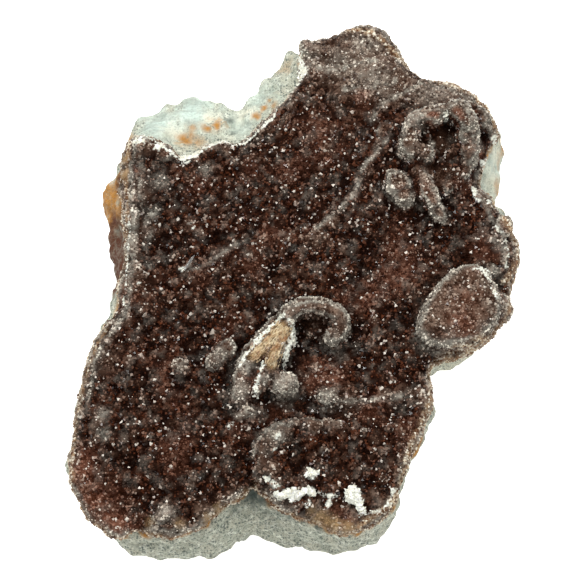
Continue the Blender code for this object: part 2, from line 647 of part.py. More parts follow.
def main():
    clear_scene()
    specimen = new_collection("druse_specimen")
    cutters = new_collection("cutters", is_helper=True)
    druse = new_material("druse", DRUSE_COLOUR, 0.3)
    stone = new_material("pale_rock", ROCK_COLOUR, 0.85)
    white = new_material("white_crystals", WHITE_COLOUR, 0.5)
    draw = np.random.default_rng(SEED)
    rock = make_rock()
    crust = make_crust(rock, cutters)
    clusters = [make_cluster(name, blocks, crust, cutters, draw) for name, blocks in WHITE_CLUSTERS]
    finish(rock, stone, specimen)
    finish(crust, druse, specimen)
    for cluster in clusters:
        finish(cluster, white, specimen)


main()
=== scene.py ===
"""Looks of a sphalerite druse on pale rock: skin, crystals, rock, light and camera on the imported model."""

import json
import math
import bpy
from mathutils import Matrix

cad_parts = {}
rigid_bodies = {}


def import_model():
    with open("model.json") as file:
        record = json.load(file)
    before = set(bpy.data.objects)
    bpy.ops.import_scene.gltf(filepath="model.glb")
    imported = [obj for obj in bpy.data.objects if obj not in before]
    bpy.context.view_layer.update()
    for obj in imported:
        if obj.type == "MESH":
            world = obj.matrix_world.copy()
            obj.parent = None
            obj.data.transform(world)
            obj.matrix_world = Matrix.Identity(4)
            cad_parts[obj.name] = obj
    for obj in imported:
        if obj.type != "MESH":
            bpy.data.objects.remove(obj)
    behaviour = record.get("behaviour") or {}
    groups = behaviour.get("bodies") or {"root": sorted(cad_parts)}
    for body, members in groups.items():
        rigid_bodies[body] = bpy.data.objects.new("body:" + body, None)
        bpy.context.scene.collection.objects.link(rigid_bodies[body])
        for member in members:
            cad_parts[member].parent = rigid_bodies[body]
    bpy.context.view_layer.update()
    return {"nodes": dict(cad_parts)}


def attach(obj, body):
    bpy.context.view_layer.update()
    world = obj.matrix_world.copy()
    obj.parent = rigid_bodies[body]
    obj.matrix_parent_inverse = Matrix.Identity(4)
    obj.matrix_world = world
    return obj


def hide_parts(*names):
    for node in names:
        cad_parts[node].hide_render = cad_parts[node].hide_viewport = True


bl_info = {
    "name": "Sphalerite Druse",
    "version": (1, 0, 0),
    "blender": (4, 5, 0),
    "location": "3D View > Sidebar > Mineral",
    "description": "Dresses a druse specimen with its crystals, rock, light and camera",
    "category": "Object",
}

import bmesh
import bpy
import numpy as np
from bpy.props import FloatProperty, FloatVectorProperty, IntProperty, PointerProperty
from bpy.types import Operator, Panel, PropertyGroup
from mathutils import Vector
from mathutils.bvhtree import BVHTree

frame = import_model()

MM = 0.001
# Marks below are in millimetres in the drawing frame; the model's origin is this far from the drawing's.
PLAN_SHIFT = np.array((-3.1, -3.2, 0.0))
# Heights in the same frame: crystals grow above the first, and the crust's edge lies below the second.
CRYSTAL_FLOOR = 16.5
EDGE_TOP = 25.5
# Rounds of smoothing that leave out the crust's knobs, and then also its lumps.
KNOB_ROUNDS = 8
LUMP_ROUNDS = 60
# The most crystals on a square metre, and how far their sizes stray from the mean.
MOST_CRYSTALS = 3.0e7
DRUSE_SPREAD = 0.42
WHITE_SPREAD = 0.45
# Mesh size of the white clusters, radius of the clear prism, and how far the crust stains the rock.
CLUSTER_GRAIN = 0.35 * MM
PRISM_RADIUS = 0.34 * MM
CONTACT_REACH = 2.2 * MM
# The way the streaks run on the pale shelf, and how much stronger the ochre, rust and dark marks are than in
# the list; some dark marks are painted shade.
STREAK_TURN = math.radians(-24.0)
STAIN_GAIN = 1.6

# Seeds of the smooth random patterns, one for each use, so that no two of them line up.
PATTERN_SEEDS = {
    "edge": 21,
    "fine edge": 22,
    "chalk": 23,
    "warmth": 24,
    "frost grain": 27,
    "rim": 28,
    "frost gaps": 29,
    "growth": 31,
    "haze": 33,
    "fine haze": 34,
    "stain edge": 41,
    "fine stain edge": 42,
    "contact": 43,
}

# The druse is cut into these fields so that no piece of crystals gets too heavy: name and middle.
FIELDS = (
    ("dome_crystals", (14.0, 54.0)),
    ("left_crystals", (-27.0, 22.0)),
    ("ledge_crystals", (3.0, 22.0)),
    ("knot_crystals", (38.0, 27.0)),
    ("oval_crystals", (37.0, -8.0)),
    ("hook_crystals", (-3.0, -17.0)),
    ("lower_left_crystals", (-33.0, -36.0)),
    ("lower_right_crystals", (9.0, -46.0)),
)

# Frosty crests: half-width, strength and the line that each follows.
FROST_LINES = (
    (1.3, 0.70, ((7.4, 13.6), (11.9, 17.6), (15.2, 21.3), (17.2, 23.1), (18.3, 28.8), (20.8, 32.1))),
    (1.3, 0.65, ((20.8, 32.1), (24.2, 35.8), (26.2, 38.4))),
    (2.2, 0.70, ((38.0, 55.4), (44.0, 53.2), (48.5, 50.8), (51.5, 46.0), (53.0, 42.0))),
    (1.5, 0.70, ((21.8, 43.2), (23.2, 46.5), (25.2, 48.6), (29.1, 50.2), (34.4, 53.3), (38.0, 52.7))),
    (1.7, 0.80, ((38.0, 52.7), (42.6, 50.5), (46.9, 49.2), (49.5, 46.8), (51.3, 41.7), (53.0, 38.5))),
    (1.3, 0.50, ((-25.4, 3.5), (-21.7, 3.4), (-18.0, 5.7), (-15.6, 7.9), (-13.1, 9.5), (-9.4, 11.0))),
    (1.7, 0.90, ((-40.0, 31.5), (-39.6, 27.2), (-39.9, 21.6), (-38.3, 16.9), (-38.3, 12.1), (-38.4, 8.0))),
    (1.4, 0.95, ((-38.4, 8.0), (-38.7, 5.1), (-38.9, 0.2), (-39.4, -4.6), (-40.5, -9.3), (-43.0, -13.1))),
    (1.2, 0.80, ((-43.0, -13.1), (-45.4, -16.2), (-47.0, -20.5), (-47.7, -26.3), (-48.8, -33.0))),
    (1.6, 0.50, ((-37.2, 32.4), (-37.4, 24.0), (-36.6, 18.9), (-35.2, 15.8), (-34.5, 12.9), (-35.3, 8.6))),
    (1.2, 0.90, ((30.7, 39.3), (28.9, 36.9), (28.2, 34.3), (28.5, 32.4), (29.5, 31.7), (31.0, 31.3))),
    (1.5, 0.90, ((30.7, 39.3), (31.7, 40.7), (33.1, 41.3), (33.9, 40.0))),
    (1.1, 0.80, ((36.6, 35.6), (36.5, 32.2), (36.1, 30.9), (34.8, 30.3))),
    (0.9, 0.95, ((34.4, 41.7), (36.1, 42.1), (38.1, 42.0), (39.2, 41.6), (39.7, 41.1))),
    (1.1, 0.95, ((40.4, 42.6), (41.4, 43.4), (43.2, 44.0), (44.5, 43.5), (45.4, 41.3), (45.7, 38.9))),
    (1.1, 0.85, ((45.7, 38.9), (46.6, 36.5), (46.9, 33.9), (47.0, 32.4), (46.5, 30.6))),
    (1.0, 0.90, ((25.0, 23.2), (25.0, 24.8), (25.8, 26.4), (27.6, 27.1), (29.1, 27.1), (30.1, 25.7))),
    (1.0, 0.90, ((30.1, 25.7), (30.6, 23.9), (31.4, 21.4), (31.2, 20.4), (29.5, 18.8), (27.8, 19.6))),
    (1.0, 0.90, ((27.8, 19.6), (26.3, 21.5), (25.0, 23.2))),
    (1.2, 0.65, ((34.1, 28.2), (35.5, 24.9), (36.4, 22.3), (38.0, 19.6), (39.5, 16.7))),
    (1.5, 0.85, ((40.6, 0.4), (38.9, -1.8), (37.3, -2.3), (35.8, -4.5), (33.9, -6.8), (32.2, -11.6))),
    (1.4, 0.80, ((32.2, -11.6), (31.7, -13.2), (32.6, -16.2), (34.6, -17.7), (37.5, -18.0))),
    (1.6, 0.90, ((42.5, 2.2), (45.1, 1.9), (47.7, 2.6), (49.3, 0.8), (50.0, -2.0), (51.0, -5.4))),
    (1.2, 0.70, ((37.5, -18.0), (40.3, -18.2), (43.1, -17.9), (45.6, -16.9), (48.4, -14.8), (51.1, -10.9))),
    (0.9, 0.95, ((-1.6, -10.4), (0.1, -8.9), (3.5, -7.9), (6.4, -7.2), (9.8, -7.3), (12.5, -8.5))),
    (0.9, 0.95, ((12.5, -8.5), (13.9, -9.6), (14.7, -11.4), (14.7, -13.6), (13.8, -15.1))),
    (1.2, 0.60, ((9.5, -30.0), (11.9, -30.9), (15.1, -30.7), (18.7, -30.5), (24.8, -29.7), (28.4, -29.4))),
    (1.1, 0.85, ((-8.2, -43.8), (-7.8, -41.3), (-6.1, -38.8), (-4.0, -37.2), (-1.6, -36.6), (1.1, -36.9))),
    (1.4, 0.80, ((4.0, 58.8), (7.9, 57.3), (10.9, 56.2), (13.7, 56.3), (17.3, 57.9), (22.5, 58.8))),
    (1.5, 0.75, ((14.8, 51.2), (19.8, 52.1), (24.2, 51.8), (28.0, 54.0))),
    (1.2, 0.85, ((47.0, 38.8), (49.1, 36.0))),
    (1.2, 0.70, ((48.5, 30.5), (47.4, 24.3), (50.8, 17.9), (52.2, 14.5), (53.9, 11.5), (54.3, 4.0))),
)

# Tan and cream fringe along the edge of the crust, partly its paler edge and partly painted glow of the
# backlit edge: half-width, strength and line.
RIM_AND_GLOW_LINES = (
    (1.6, 0.95, ((16.3, 69.4), (21.5, 68.4), (25.3, 65.4), (27.9, 62.0), (33.4, 58.0), (39.4, 54.6))),
    (1.8, 1.00, ((39.4, 54.6), (43.9, 52.8), (47.7, 51.9), (51.0, 47.5), (53.8, 41.6))),
    (0.9, 0.75, ((-40.6, 40.6), (-40.8, 32.9), (-41.0, 27.8), (-40.5, 22.0), (-40.0, 15.7))),
    (0.8, 0.75, ((-43.9, -10.8), (-46.6, -16.1), (-48.5, -20.9), (-49.5, -26.0), (-50.6, -30.9))),
    (1.0, 0.75, ((-50.6, -30.9), (-51.6, -36.5), (-52.0, -42.8), (-51.8, -48.9))),
    (1.4, 0.95, ((54.0, 15.9), (55.9, 12.5), (57.9, 9.4), (57.1, 4.4), (54.0, 0.3))),
    (1.2, 0.90, ((54.6, -4.0), (54.2, -8.0), (52.4, -12.0), (49.0, -15.4), (44.8, -17.6))),
    (1.2, 0.95, ((44.8, -17.6), (41.1, -18.8), (37.5, -19.8), (35.2, -24.0), (34.8, -29.8), (32.7, -34.7))),
    (1.2, 0.95, ((32.7, -34.7), (30.2, -39.7), (28.4, -44.6), (27.2, -50.2), (24.6, -55.3), (16.0, -61.1))),
)

# Frosty lumps, with broad painted highlight on the dome in the last five: plan place, radius and strength.
FROST_AND_HIGHLIGHT_SPOTS = (
    (32.8, 39.6, 1.8, 0.75), (52.4, -7.8, 2.4, 0.60), (51.1, 2.3, 2.0, 0.65),
    (53.3, 0.6, 1.6, 0.65), (10.8, -16.2, 2.4, 0.65), (-0.6, -27.4, 3.6, 0.75),
    (-10.0, -23.3, 2.4, 0.75), (-11.4, -28.9, 2.8, 0.75), (-9.5, -33.2, 2.2, 0.75),
    (-11.7, -34.5, 1.4, 0.70), (-5.6, -26.2, 1.6, 0.70), (9.5, -29.9, 2.6, 0.80),
    (-16.3, -19.2, 2.2, 0.80), (-28.9, -57.5, 2.6, 0.75), (-17.5, -21.1, 1.6, 0.55),
    (-26.0, -22.2, 1.6, 0.45), (-34.1, 18.4, 1.5, 0.85), (-32.7, 19.9, 1.2, 0.80),
    (-34.2, 4.1, 1.2, 0.60), (-39.3, 10.7, 1.8, 0.70), (-21.0, 30.3, 2.0, 0.50),
    (-32.3, 27.0, 3.0, 0.50), (-44.5, -33.8, 2.0, 0.60), (-44.2, -38.4, 1.8, 0.60),
    (-2.3, -40.0, 2.2, 0.75), (52.0, 10.6, 2.4, 0.60), (14.0, 58.8, 4.4, 0.55),
    (5.3, 62.0, 3.6, 0.50), (22.0, 55.0, 6.0, 0.50), (20.0, 64.0, 5.0, 0.45),
    (38.0, 50.0, 6.0, 0.45),
)

# Chalky white crusts and rims: half-width, strength and line.
CHALK_LINES = (
    (0.65, 0.90, ((-37.5, 39.2), (-35.3, 39.5), (-33.2, 38.3), (-31.0, 35.1), (-29.3, 34.2), (-26.0, 34.7))),
    (0.70, 0.90, ((-26.0, 34.7), (-24.2, 34.1), (-22.9, 35.5), (-20.7, 37.0), (-18.4, 38.5), (-16.3, 39.2))),
    (0.65, 0.90, ((-16.3, 39.2), (-14.2, 37.6), (-12.7, 37.9), (-10.7, 38.7), (-9.1, 40.0), (-7.3, 41.5))),
    (0.65, 0.85, ((-7.3, 41.5), (-5.8, 42.8), (-4.0, 45.0), (-2.5, 47.5))),
    (0.90, 0.95, ((-0.9, 52.5), (0.7, 54.5), (2.5, 54.2), (3.7, 55.3), (4.0, 57.0), (3.3, 62.8))),
    (0.95, 1.00, ((-1.0, -10.6), (-3.0, -12.1), (-5.0, -14.4), (-6.9, -16.1), (-10.5, -20.6))),
    (0.85, 0.90, ((-10.5, -20.6), (-11.2, -22.6))),
    (1.00, 1.00, ((0.1, -11.6), (1.2, -12.6), (1.3, -14.4), (1.0, -16.6), (-0.2, -18.6), (-0.8, -20.6))),
    (0.80, 0.95, ((-0.8, -20.6), (-1.0, -22.6))),
    (0.70, 0.90, ((-5.9, -22.7), (-6.8, -25.3), (-7.8, -28.0), (-7.4, -29.4))),
    (0.70, 0.95, ((43.8, 3.4), (46.6, 3.4), (48.8, 2.2), (50.2, -0.4))),
    (0.60, 0.90, ((45.0, 0.4), (47.4, 0.2), (48.6, -1.6), (49.4, -4.0), (50.6, -6.4))),
    (0.70, 0.60, ((5.6, -51.8), (9.0, -53.4), (12.0, -53.8), (15.0, -53.8))),
    (0.55, 0.55, ((18.0, -57.6), (21.7, -57.0), (24.2, -55.1), (25.2, -52.0))),
    (0.65, 0.65, ((-5.6, -49.0), (-4.6, -49.9), (-3.4, -50.7), (-2.4, -51.8))),
    (0.60, 0.80, ((47.0, 24.6), (47.4, 22.6), (48.4, 21.2))),
    (0.60, 0.70, ((52.4, 13.9), (54.2, 11.0), (54.9, 8.0), (54.2, 4.4))),
    (0.50, 0.45, ((-39.6, 17.0), (-39.4, 12.0), (-39.8, 6.0), (-40.0, 0.0), (-40.6, -6.0))),
)

# Chalky white spots: plan place, radius and strength.
CHALK_SPOTS = (
    (-26.2, 34.6, 2.2, 1.00), (-23.4, 35.4, 1.2, 0.90), (3.8, 57.2, 1.5, 1.00),
    (-37.8, 37.4, 1.7, 0.95), (-32.6, 35.8, 1.5, 0.95), (39.7, 41.1, 0.8, 1.00),
    (52.6, 38.6, 0.9, 0.80), (49.8, 32.0, 1.3, 0.90), (51.5, 33.8, 1.2, 0.95),
    (47.2, 24.8, 0.9, 0.95), (53.0, 39.4, 0.7, 0.90), (50.4, 21.0, 0.8, 0.80),
    (-13.8, -36.8, 0.8, 0.95), (-24.5, 15.6, 0.6, 0.90), (-23.4, 14.4, 0.5, 0.80),
    (-36.9, -0.5, 0.6, 0.90), (-2.3, -40.0, 0.9, 0.80), (-3.4, -43.0, 0.6, 0.70),
    (1.1, -16.3, 1.3, 1.00), (5.6, -48.6, 1.3, 1.00), (-4.6, -49.9, 0.8, 0.95),
    (-3.5, -50.8, 0.8, 0.95), (-2.5, -51.6, 0.9, 0.95), (-0.4, -52.4, 0.7, 0.80),
    (-1.5, -53.8, 0.9, 0.95), (2.0, -53.4, 1.3, 0.95), (5.3, -52.5, 1.2, 0.95),
    (4.9, -55.0, 1.0, 0.80), (9.8, -55.5, 1.1, 0.80), (10.1, -54.1, 0.8, 0.70),
    (15.8, -53.8, 1.7, 1.00), (17.4, -57.1, 1.0, 0.95), (25.2, -52.0, 0.9, 0.80),
    (24.2, -55.1, 0.8, 0.75), (21.7, -57.0, 0.7, 0.60), (-25.9, 3.4, 0.7, 1.00),
)

# Pinkish-brown crowns, partly painted highlight on the dome and on raised lumps: plan place, radius and
# strength.
BLUSH_AND_HIGHLIGHT_SPOTS = (
    (42.2, -8.0, 9.4, 1.00), (36.6, -12.1, 3.6, 0.80), (30.8, 34.4, 2.6, 0.90),
    (34.6, 33.0, 2.0, 0.80), (27.2, 24.2, 2.6, 0.90), (29.0, 20.6, 1.8, 0.85),
    (19.0, 58.0, 11.0, 0.95), (27.0, 54.0, 8.0, 0.85), (8.0, 60.0, 6.0, 0.85),
    (42.0, 49.0, 7.0, 0.75), (35.0, 50.0, 6.0, 0.60), (-36.5, 14.0, 3.6, 0.50),
    (-38.0, 0.0, 3.6, 0.50), (-44.0, -20.0, 4.0, 0.45), (14.0, -31.0, 4.0, 0.40),
    (-0.6, -27.4, 2.6, 0.80), (-28.9, -57.4, 2.0, 0.70), (-11.4, -28.9, 1.8, 0.60),
    (9.4, -29.6, 1.8, 0.60), (37.6, 26.0, 4.0, 0.60), (-37.8, 24.0, 3.6, 0.45),
    (8.0, -9.4, 4.6, 0.35), (39.2, 35.6, 3.6, 0.55),
)

# Warm red-brown places: plan place, radius and strength.
WARM_SPOTS = (
    (36.4, 40.6, 1.9, 1.00), (42.4, 40.9, 1.4, 0.90), (43.4, 39.4, 1.1, 0.90),
    (48.3, 33.8, 2.4, 0.60), (28.2, 22.4, 1.5, 0.60), (42.8, -7.3, 4.4, 0.45),
    (42.0, -13.2, 4.4, 0.65), (19.4, 49.2, 3.0, 0.75), (5.3, 63.1, 1.8, 0.80),
    (-47.6, -54.4, 5.2, 0.95), (-44.6, -58.6, 5.0, 0.95), (-40.0, -60.0, 4.6, 0.90),
    (-49.6, -46.1, 5.0, 0.85), (20.0, -32.6, 4.0, 0.45), (14.1, -59.6, 2.6, 0.60),
    (31.0, -38.0, 5.0, 0.45), (-28.6, -57.7, 1.2, 0.60), (8.0, 40.0, 7.0, 0.30),
    (-38.7, 29.6, 1.6, 0.60),
)

# Ochre and tan places on the crust: plan place, radius and strength.
TAN_SPOTS = (
    (-1.3, -12.8, 1.4, 1.00), (-3.0, -14.8, 1.5, 1.00), (-4.7, -16.8, 1.5, 1.00),
    (-6.6, -18.8, 1.5, 1.00), (-8.3, -20.5, 1.4, 0.90), (-1.2, -16.0, 1.4, 1.00),
    (-2.6, -18.4, 1.5, 1.00), (-3.5, -20.0, 1.4, 1.00), (-3.9, -22.6, 1.3, 0.90),
    (7.7, -58.4, 1.8, 0.80), (9.4, -59.2, 1.6, 0.90), (11.4, -60.2, 1.8, 0.95),
    (14.1, -60.8, 1.7, 0.90), (5.8, -56.9, 1.4, 0.50), (-41.2, 33.6, 1.4, 0.80),
    (-41.6, 29.3, 1.4, 0.80), (-32.6, -59.6, 1.3, 0.50), (-25.5, -60.0, 1.3, 0.50),
    (-19.1, -58.4, 1.3, 0.60), (-16.3, -56.3, 1.3, 0.60),
)

# Painted shade in the druse's hollows and recesses, where it is darkest: plan place, radius and strength.
PAINTED_SHADE_SPOTS = (
    (31.8, 23.8, 1.2, 0.9), (32.6, 19.4, 1.6, 0.9), (7.4, -11.6, 3.2, 0.8), (3.4, -14.0, 2.4, 0.6),
    (-7.2, -22.8, 1.4, 0.8), (-30.8, 11.8, 1.8, 0.8), (-2.6, -31.4, 2.6, 0.7),
    (44.0, 9.0, 6.0, 0.4), (48.8, 27.5, 0.9, 1.0),
)

# Stains and marks on the rock, each with place in plan and height, radius and strength; some dark marks are
# painted shade and the cream marks low on the outer edges are partly painted glow.
ROCK_MARKS = {
    "ochre": (
        (-18.5, 47.2, 15.5, 2.3, 0.9), (-20.6, 45.6, 15.5, 1.6, 0.7), (-25.0, 46.0, 15.0, 1.6, 0.5),
        (-26.8, 42.0, 16.0, 2.4, 0.8), (-23.6, 41.4, 17.0, 2.0, 0.6), (-4.6, 52.9, 15.2, 1.2, 0.9),
        (-6.2, 50.8, 16.0, 1.0, 0.9), (-8.3, 48.4, 16.0, 1.1, 0.8), (-3.8, 51.0, 18.0, 1.2, 0.6),
        (-45.6, 26.6, 15.0, 6.4, 1.0), (-45.4, 21.6, 15.0, 4.6, 1.0), (46.0, -19.6, 18.0, 4.0, 0.8),
        (38.0, -20.6, 18.0, 4.0, 0.8), (-42.1, 43.5, 11.0, 2.4, 0.7), (57.6, 3.0, 17.0, 3.6, 0.9),
        (56.0, -2.6, 17.0, 2.6, 0.7), (54.3, -9.0, 15.0, 2.4, 0.5), (57.6, 41.0, 13.0, 3.0, 0.8),
        (58.4, 35.4, 12.0, 2.6, 0.9), (57.0, 29.6, 11.0, 2.6, 0.8), (54.4, 24.0, 14.0, 2.4, 0.7),
        (-1.0, 63.0, 14.0, 2.6, 0.3),
    ),
    "rust": (
        (-45.0, 18.4, 15.0, 3.0, 1.0), (-45.0, 14.4, 15.0, 6.6, 1.0), (-44.2, 9.4, 15.0, 6.4, 1.0),
        (-43.0, 4.4, 15.0, 4.6, 1.0), (-41.9, 34.2, 18.0, 2.2, 0.9), (-42.6, 29.3, 18.0, 2.0, 0.9),
        (-41.9, 39.0, 16.0, 1.8, 0.7), (56.4, 0.6, 19.0, 1.8, 0.5), (-45.6, -60.6, 12.0, 3.0, 0.35),
    ),
    "mint": (
        (-25.0, 51.0, 14.0, 8.0, 0.9), (-33.0, 46.0, 15.0, 8.0, 0.9), (-12.5, 47.0, 14.0, 6.0, 0.7),
        (-8.0, 54.0, 14.0, 6.0, 0.6), (54.6, 33.4, 15.0, 9.0, 0.9), (50.6, 22.0, 23.0, 4.0, 0.8),
    ),
    # Cream marks: pale patches, and those low on the outer edges partly painted glow of the backlit edge.
    "cream": (
        (-20.0, 49.6, 15.0, 3.0, 0.8), (-30.0, 44.4, 16.0, 3.4, 0.7), (-10.8, 50.6, 14.0, 3.4, 0.8),
        (-15.0, 43.0, 16.0, 2.4, 0.4), (53.8, 31.0, 14.0, 4.4, 0.8), (54.6, 37.6, 17.0, 4.0, 0.8),
        (57.0, 10.0, 18.0, 4.0, 0.8), (44.0, -20.5, 14.0, 9.0, 0.9), (38.0, -22.0, 16.0, 6.0, 0.9),
        (-46.5, 31.0, 10.0, 3.0, 0.7), (-51.0, -52.0, 10.0, 6.0, 0.5),
    ),
    # Dark marks, partly painted shade, as in the hole under the crust by the knot.
    "dark": (
        (-15.2, 48.6, 12.5, 1.3, 0.5), (-14.4, 44.6, 14.0, 1.2, 0.5), (-8.1, -51.0, 15.5, 3.4, 0.7),
        (-12.6, -54.4, 13.0, 3.0, 0.35), (-2.6, -55.0, 12.0, 3.4, 0.35),
        (-6.1, -53.2, 18.6, 2.0, 0.6), (-3.2, -54.8, 20.4, 1.7, 0.8), (0.6, -56.6, 20.0, 1.7, 0.8),
        (49.2, 27.6, 20.0, 1.6, 1.0), (4.2, -58.2, 19.6, 1.6, 0.7), (7.4, -59.6, 19.4, 1.5, 0.6),
    ),
}

# Tan core of the hook's broken arm and of its branch: half-width, number of fibres and line.
CORE_LINES = (
    (1.4, 230, ((-1.3, -12.8, 30.0), (-3.0, -14.8, 30.0), (-4.7, -16.8, 30.0), (-8.3, -20.5, 29.8))),
    (1.2, 190, ((0.0, -13.4, 30.0), (-1.0, -16.0, 29.8), (-2.4, -18.6, 29.6), (-3.8, -22.6, 29.4))),
)
# White clusters: the solid that each replaces, the piece's name and the size of its grains.
WHITE_CLUSTERS = (
    ("white_cluster_large", "large_white_cluster", 0.9),
    ("white_cluster_strip", "strip_of_white_clusters", 0.8),
    ("white_cluster_chip", "small_white_cluster", 0.8),
)
PRISM_FOOT = (-25.6, 3.0, 25.2)
PRISM_TIP = (-23.0, 6.2, 27.0)


class DruseSettings(PropertyGroup):
    """Sizes and colours that a user would change."""

    skin_grain: FloatProperty(
        name="Skin Grain",
        description="Mesh size of the crust under the crystals",
        default=0.60 * MM,
        unit="LENGTH",
        precision=5,
    )
    rock_grain: FloatProperty(
        name="Rock Grain",
        description="Mesh size of the rock",
        default=0.72 * MM,
        unit="LENGTH",
        precision=5,
    )
    knob_height: FloatProperty(
        name="Knob Height",
        description="How far the crust's small knobs stand up",
        default=0.45 * MM,
        unit="LENGTH",
        precision=5,
    )
    crystal_spacing: FloatProperty(
        name="Crystal Spacing",
        description="Least distance between two crystals of the druse",
        default=0.50 * MM,
        unit="LENGTH",
        precision=5,
    )
    crystal_size: FloatProperty(
        name="Crystal Size",
        description="Mean radius of a crystal of the druse",
        default=0.42 * MM,
        unit="LENGTH",
        precision=5,
    )
    seed: IntProperty(
        name="Seed",
        description="Changes every random choice of the druse",
        default=11,
    )
    druse_brown: FloatVectorProperty(
        name="Druse Brown",
        description="Colour of the darker crystals",
        subtype="COLOR",
        default=(0.0145, 0.0043, 0.0018),
    )
    druse_red: FloatVectorProperty(
        name="Druse Red",
        description="Colour of the redder crystals",
        subtype="COLOR",
        default=(0.063, 0.0195, 0.0088),
    )
    druse_grey: FloatVectorProperty(
        name="Druse Grey",
        description="Colour of the clearer, greyer crystals",
        subtype="COLOR",
        default=(0.150, 0.100, 0.075),
    )
    # This frosty colour also serves as painted sheen on the lumps' shoulders and on knob tops.
    frost: FloatVectorProperty(
        name="Frost",
        description="Colour of the frosty crests",
        subtype="COLOR",
        default=(0.60, 0.56, 0.47),
    )
    chalk: FloatVectorProperty(
        name="Chalk",
        description="Colour of the white crusts",
        subtype="COLOR",
        default=(0.80, 0.81, 0.72),
    )
    core_tan: FloatVectorProperty(
        name="Core Tan",
        description="Colour of the broken hook's core",
        subtype="COLOR",
        default=(0.36, 0.24, 0.12),
    )
    rock_grey: FloatVectorProperty(
        name="Rock Grey",
        description="Colour of the rock's broken sides",
        subtype="COLOR",
        default=(0.42, 0.45, 0.36),
    )
    rock_mint: FloatVectorProperty(
        name="Rock Mint",
        description="Colour of the pale shelf",
        subtype="COLOR",
        default=(0.55, 0.67, 0.60),
    )


# Meshes


def paint(mesh, material):
    """Makes this the mesh's only material."""
    mesh.materials.clear()
    mesh.materials.append(material)


def new_object(name, data, material=None):
    """An object at the origin, in the scene, with this mesh, lamp or camera."""
    made = bpy.data.objects.new(name, data)
    bpy.context.scene.collection.objects.link(made)
    if material is not None:
        paint(data, material)
    return made


def mesh_from(body, name):
    """A mesh out of a bmesh, which is freed."""
    mesh = bpy.data.meshes.new(name)
    body.to_mesh(mesh)
    body.free()
    return mesh


def node_copy(node, name):
    """A copy of a CAD node with its doubled vertices merged and no data but its shape."""
    source = frame["nodes"][node].data
    mesh = bpy.data.meshes.new(name)
    points = [vertex.co[:] for vertex in source.vertices]
    mesh.from_pydata(points, [], [tuple(face.vertices) for face in source.polygons])
    body = bmesh.new()
    body.from_mesh(mesh)
    bmesh.ops.remove_doubles(body, verts=body.verts, dist=1e-6)
    body.to_mesh(mesh)
    body.free()
    return new_object(name, mesh)


def baked_modifiers(piece):
    """Turns what the piece's modifiers make into its plain mesh."""
    bpy.context.view_layer.update()
    depsgraph = bpy.context.evaluated_depsgraph_get()
    made = bpy.data.meshes.new_from_object(
        piece.evaluated_get(depsgraph), preserve_all_data_layers=True, depsgraph=depsgraph
    )
    old = piece.data
    piece.modifiers.clear()
    piece.data = made
    made.name = piece.name
    if old.users == 0:
        bpy.data.meshes.remove(old)
    return piece


def remeshed(piece, grain):
    """Gives the piece an even mesh of this size."""
    modifier = piece.modifiers.new("Even mesh", "REMESH")
    modifier.mode = "VOXEL"
    modifier.voxel_size = grain
    return baked_modifiers(piece)


def points_of(mesh):
    """Vertex places as rows of metres."""
    flat = np.empty(len(mesh.vertices) * 3)
    mesh.vertices.foreach_get("co", flat)
    return flat.reshape(-1, 3)


def move_points(mesh, points):
    """Puts the vertices at these places."""
    mesh.vertices.foreach_set("co", np.ascontiguousarray(points, dtype=np.float32).ravel())
    mesh.update()


def normals_of(mesh):
    """Vertex normals as rows."""
    flat = np.empty(len(mesh.vertices) * 3)
    mesh.vertex_normals.foreach_get("vector", flat)
    return flat.reshape(-1, 3)


def edges_of(mesh):
    """Vertex pairs as rows."""
    flat = np.empty(len(mesh.edges) * 2, dtype=np.int32)
    mesh.edges.foreach_get("vertices", flat)
    return flat.reshape(-1, 2)


def relaxed(values, edges, rounds, share=0.5):
    """Values moved towards the mean of their neighbours, some rounds over."""
    count = len(values)
    values = np.array(values, dtype=float).reshape(count, -1)
    first, second = edges[:, 0], edges[:, 1]
    degree = np.bincount(first, minlength=count) + np.bincount(second, minlength=count)
    degree = np.maximum(degree, 1)
    for _ in range(rounds):
        for column in range(values.shape[1]):
            level = values[:, column]
            total = np.bincount(first, weights=level[second], minlength=count)
            total += np.bincount(second, weights=level[first], minlength=count)
            values[:, column] = level + share * (total / degree - level)
    return values


def drawing(points):
    """Places in metres as millimetres in the drawing frame."""
    return points / MM - PLAN_SHIFT


def placed(points):
    """Places in millimetres in the drawing frame as metres."""
    return (np.array(points, dtype=float) + PLAN_SHIFT) * MM


def ripple(points, width, pattern, waves=14):
    """Smooth random height between about -1 and 1 that changes over this width."""
    chance = np.random.default_rng(PATTERN_SEEDS[pattern])
    total = np.zeros(len(points))
    for _ in range(waves):
        direction = chance.normal(size=3)
        direction *= chance.uniform(0.6, 1.5) * 2 * math.pi / (width * np.linalg.norm(direction))
        total += np.sin(points @ direction + chance.uniform(0, 2 * math.pi))
    return total / math.sqrt(waves)


def falloff(distance, reach):
    """1 at no distance and 0 at the reach, with a smooth slope."""
    share = np.clip(1 - distance / reach, 0, 1)
    return share * share * (3 - 2 * share)


def distance_to_line(plan, line):
    """Distance in plan from each place to a line of points."""
    corners = np.array(line, dtype=float)[:, :2]
    nearest = np.full(len(plan), np.inf)
    for start, end in zip(corners[:-1], corners[1:]):
        along = end - start
        share = np.clip(((plan - start) @ along) / (along @ along), 0, 1)
        nearest = np.minimum(nearest, np.linalg.norm(plan - start - share[:, None] * along, axis=1))
    return nearest


def line_mask(plan, lines, wobble):
    """Strongest mark of these lines at each place."""
    mask = np.zeros(len(plan))
    for width, strength, line in lines:
        reach = width * (1 + 0.35 * wobble)
        mask = np.maximum(mask, strength * falloff(distance_to_line(plan, line), reach))
    return mask


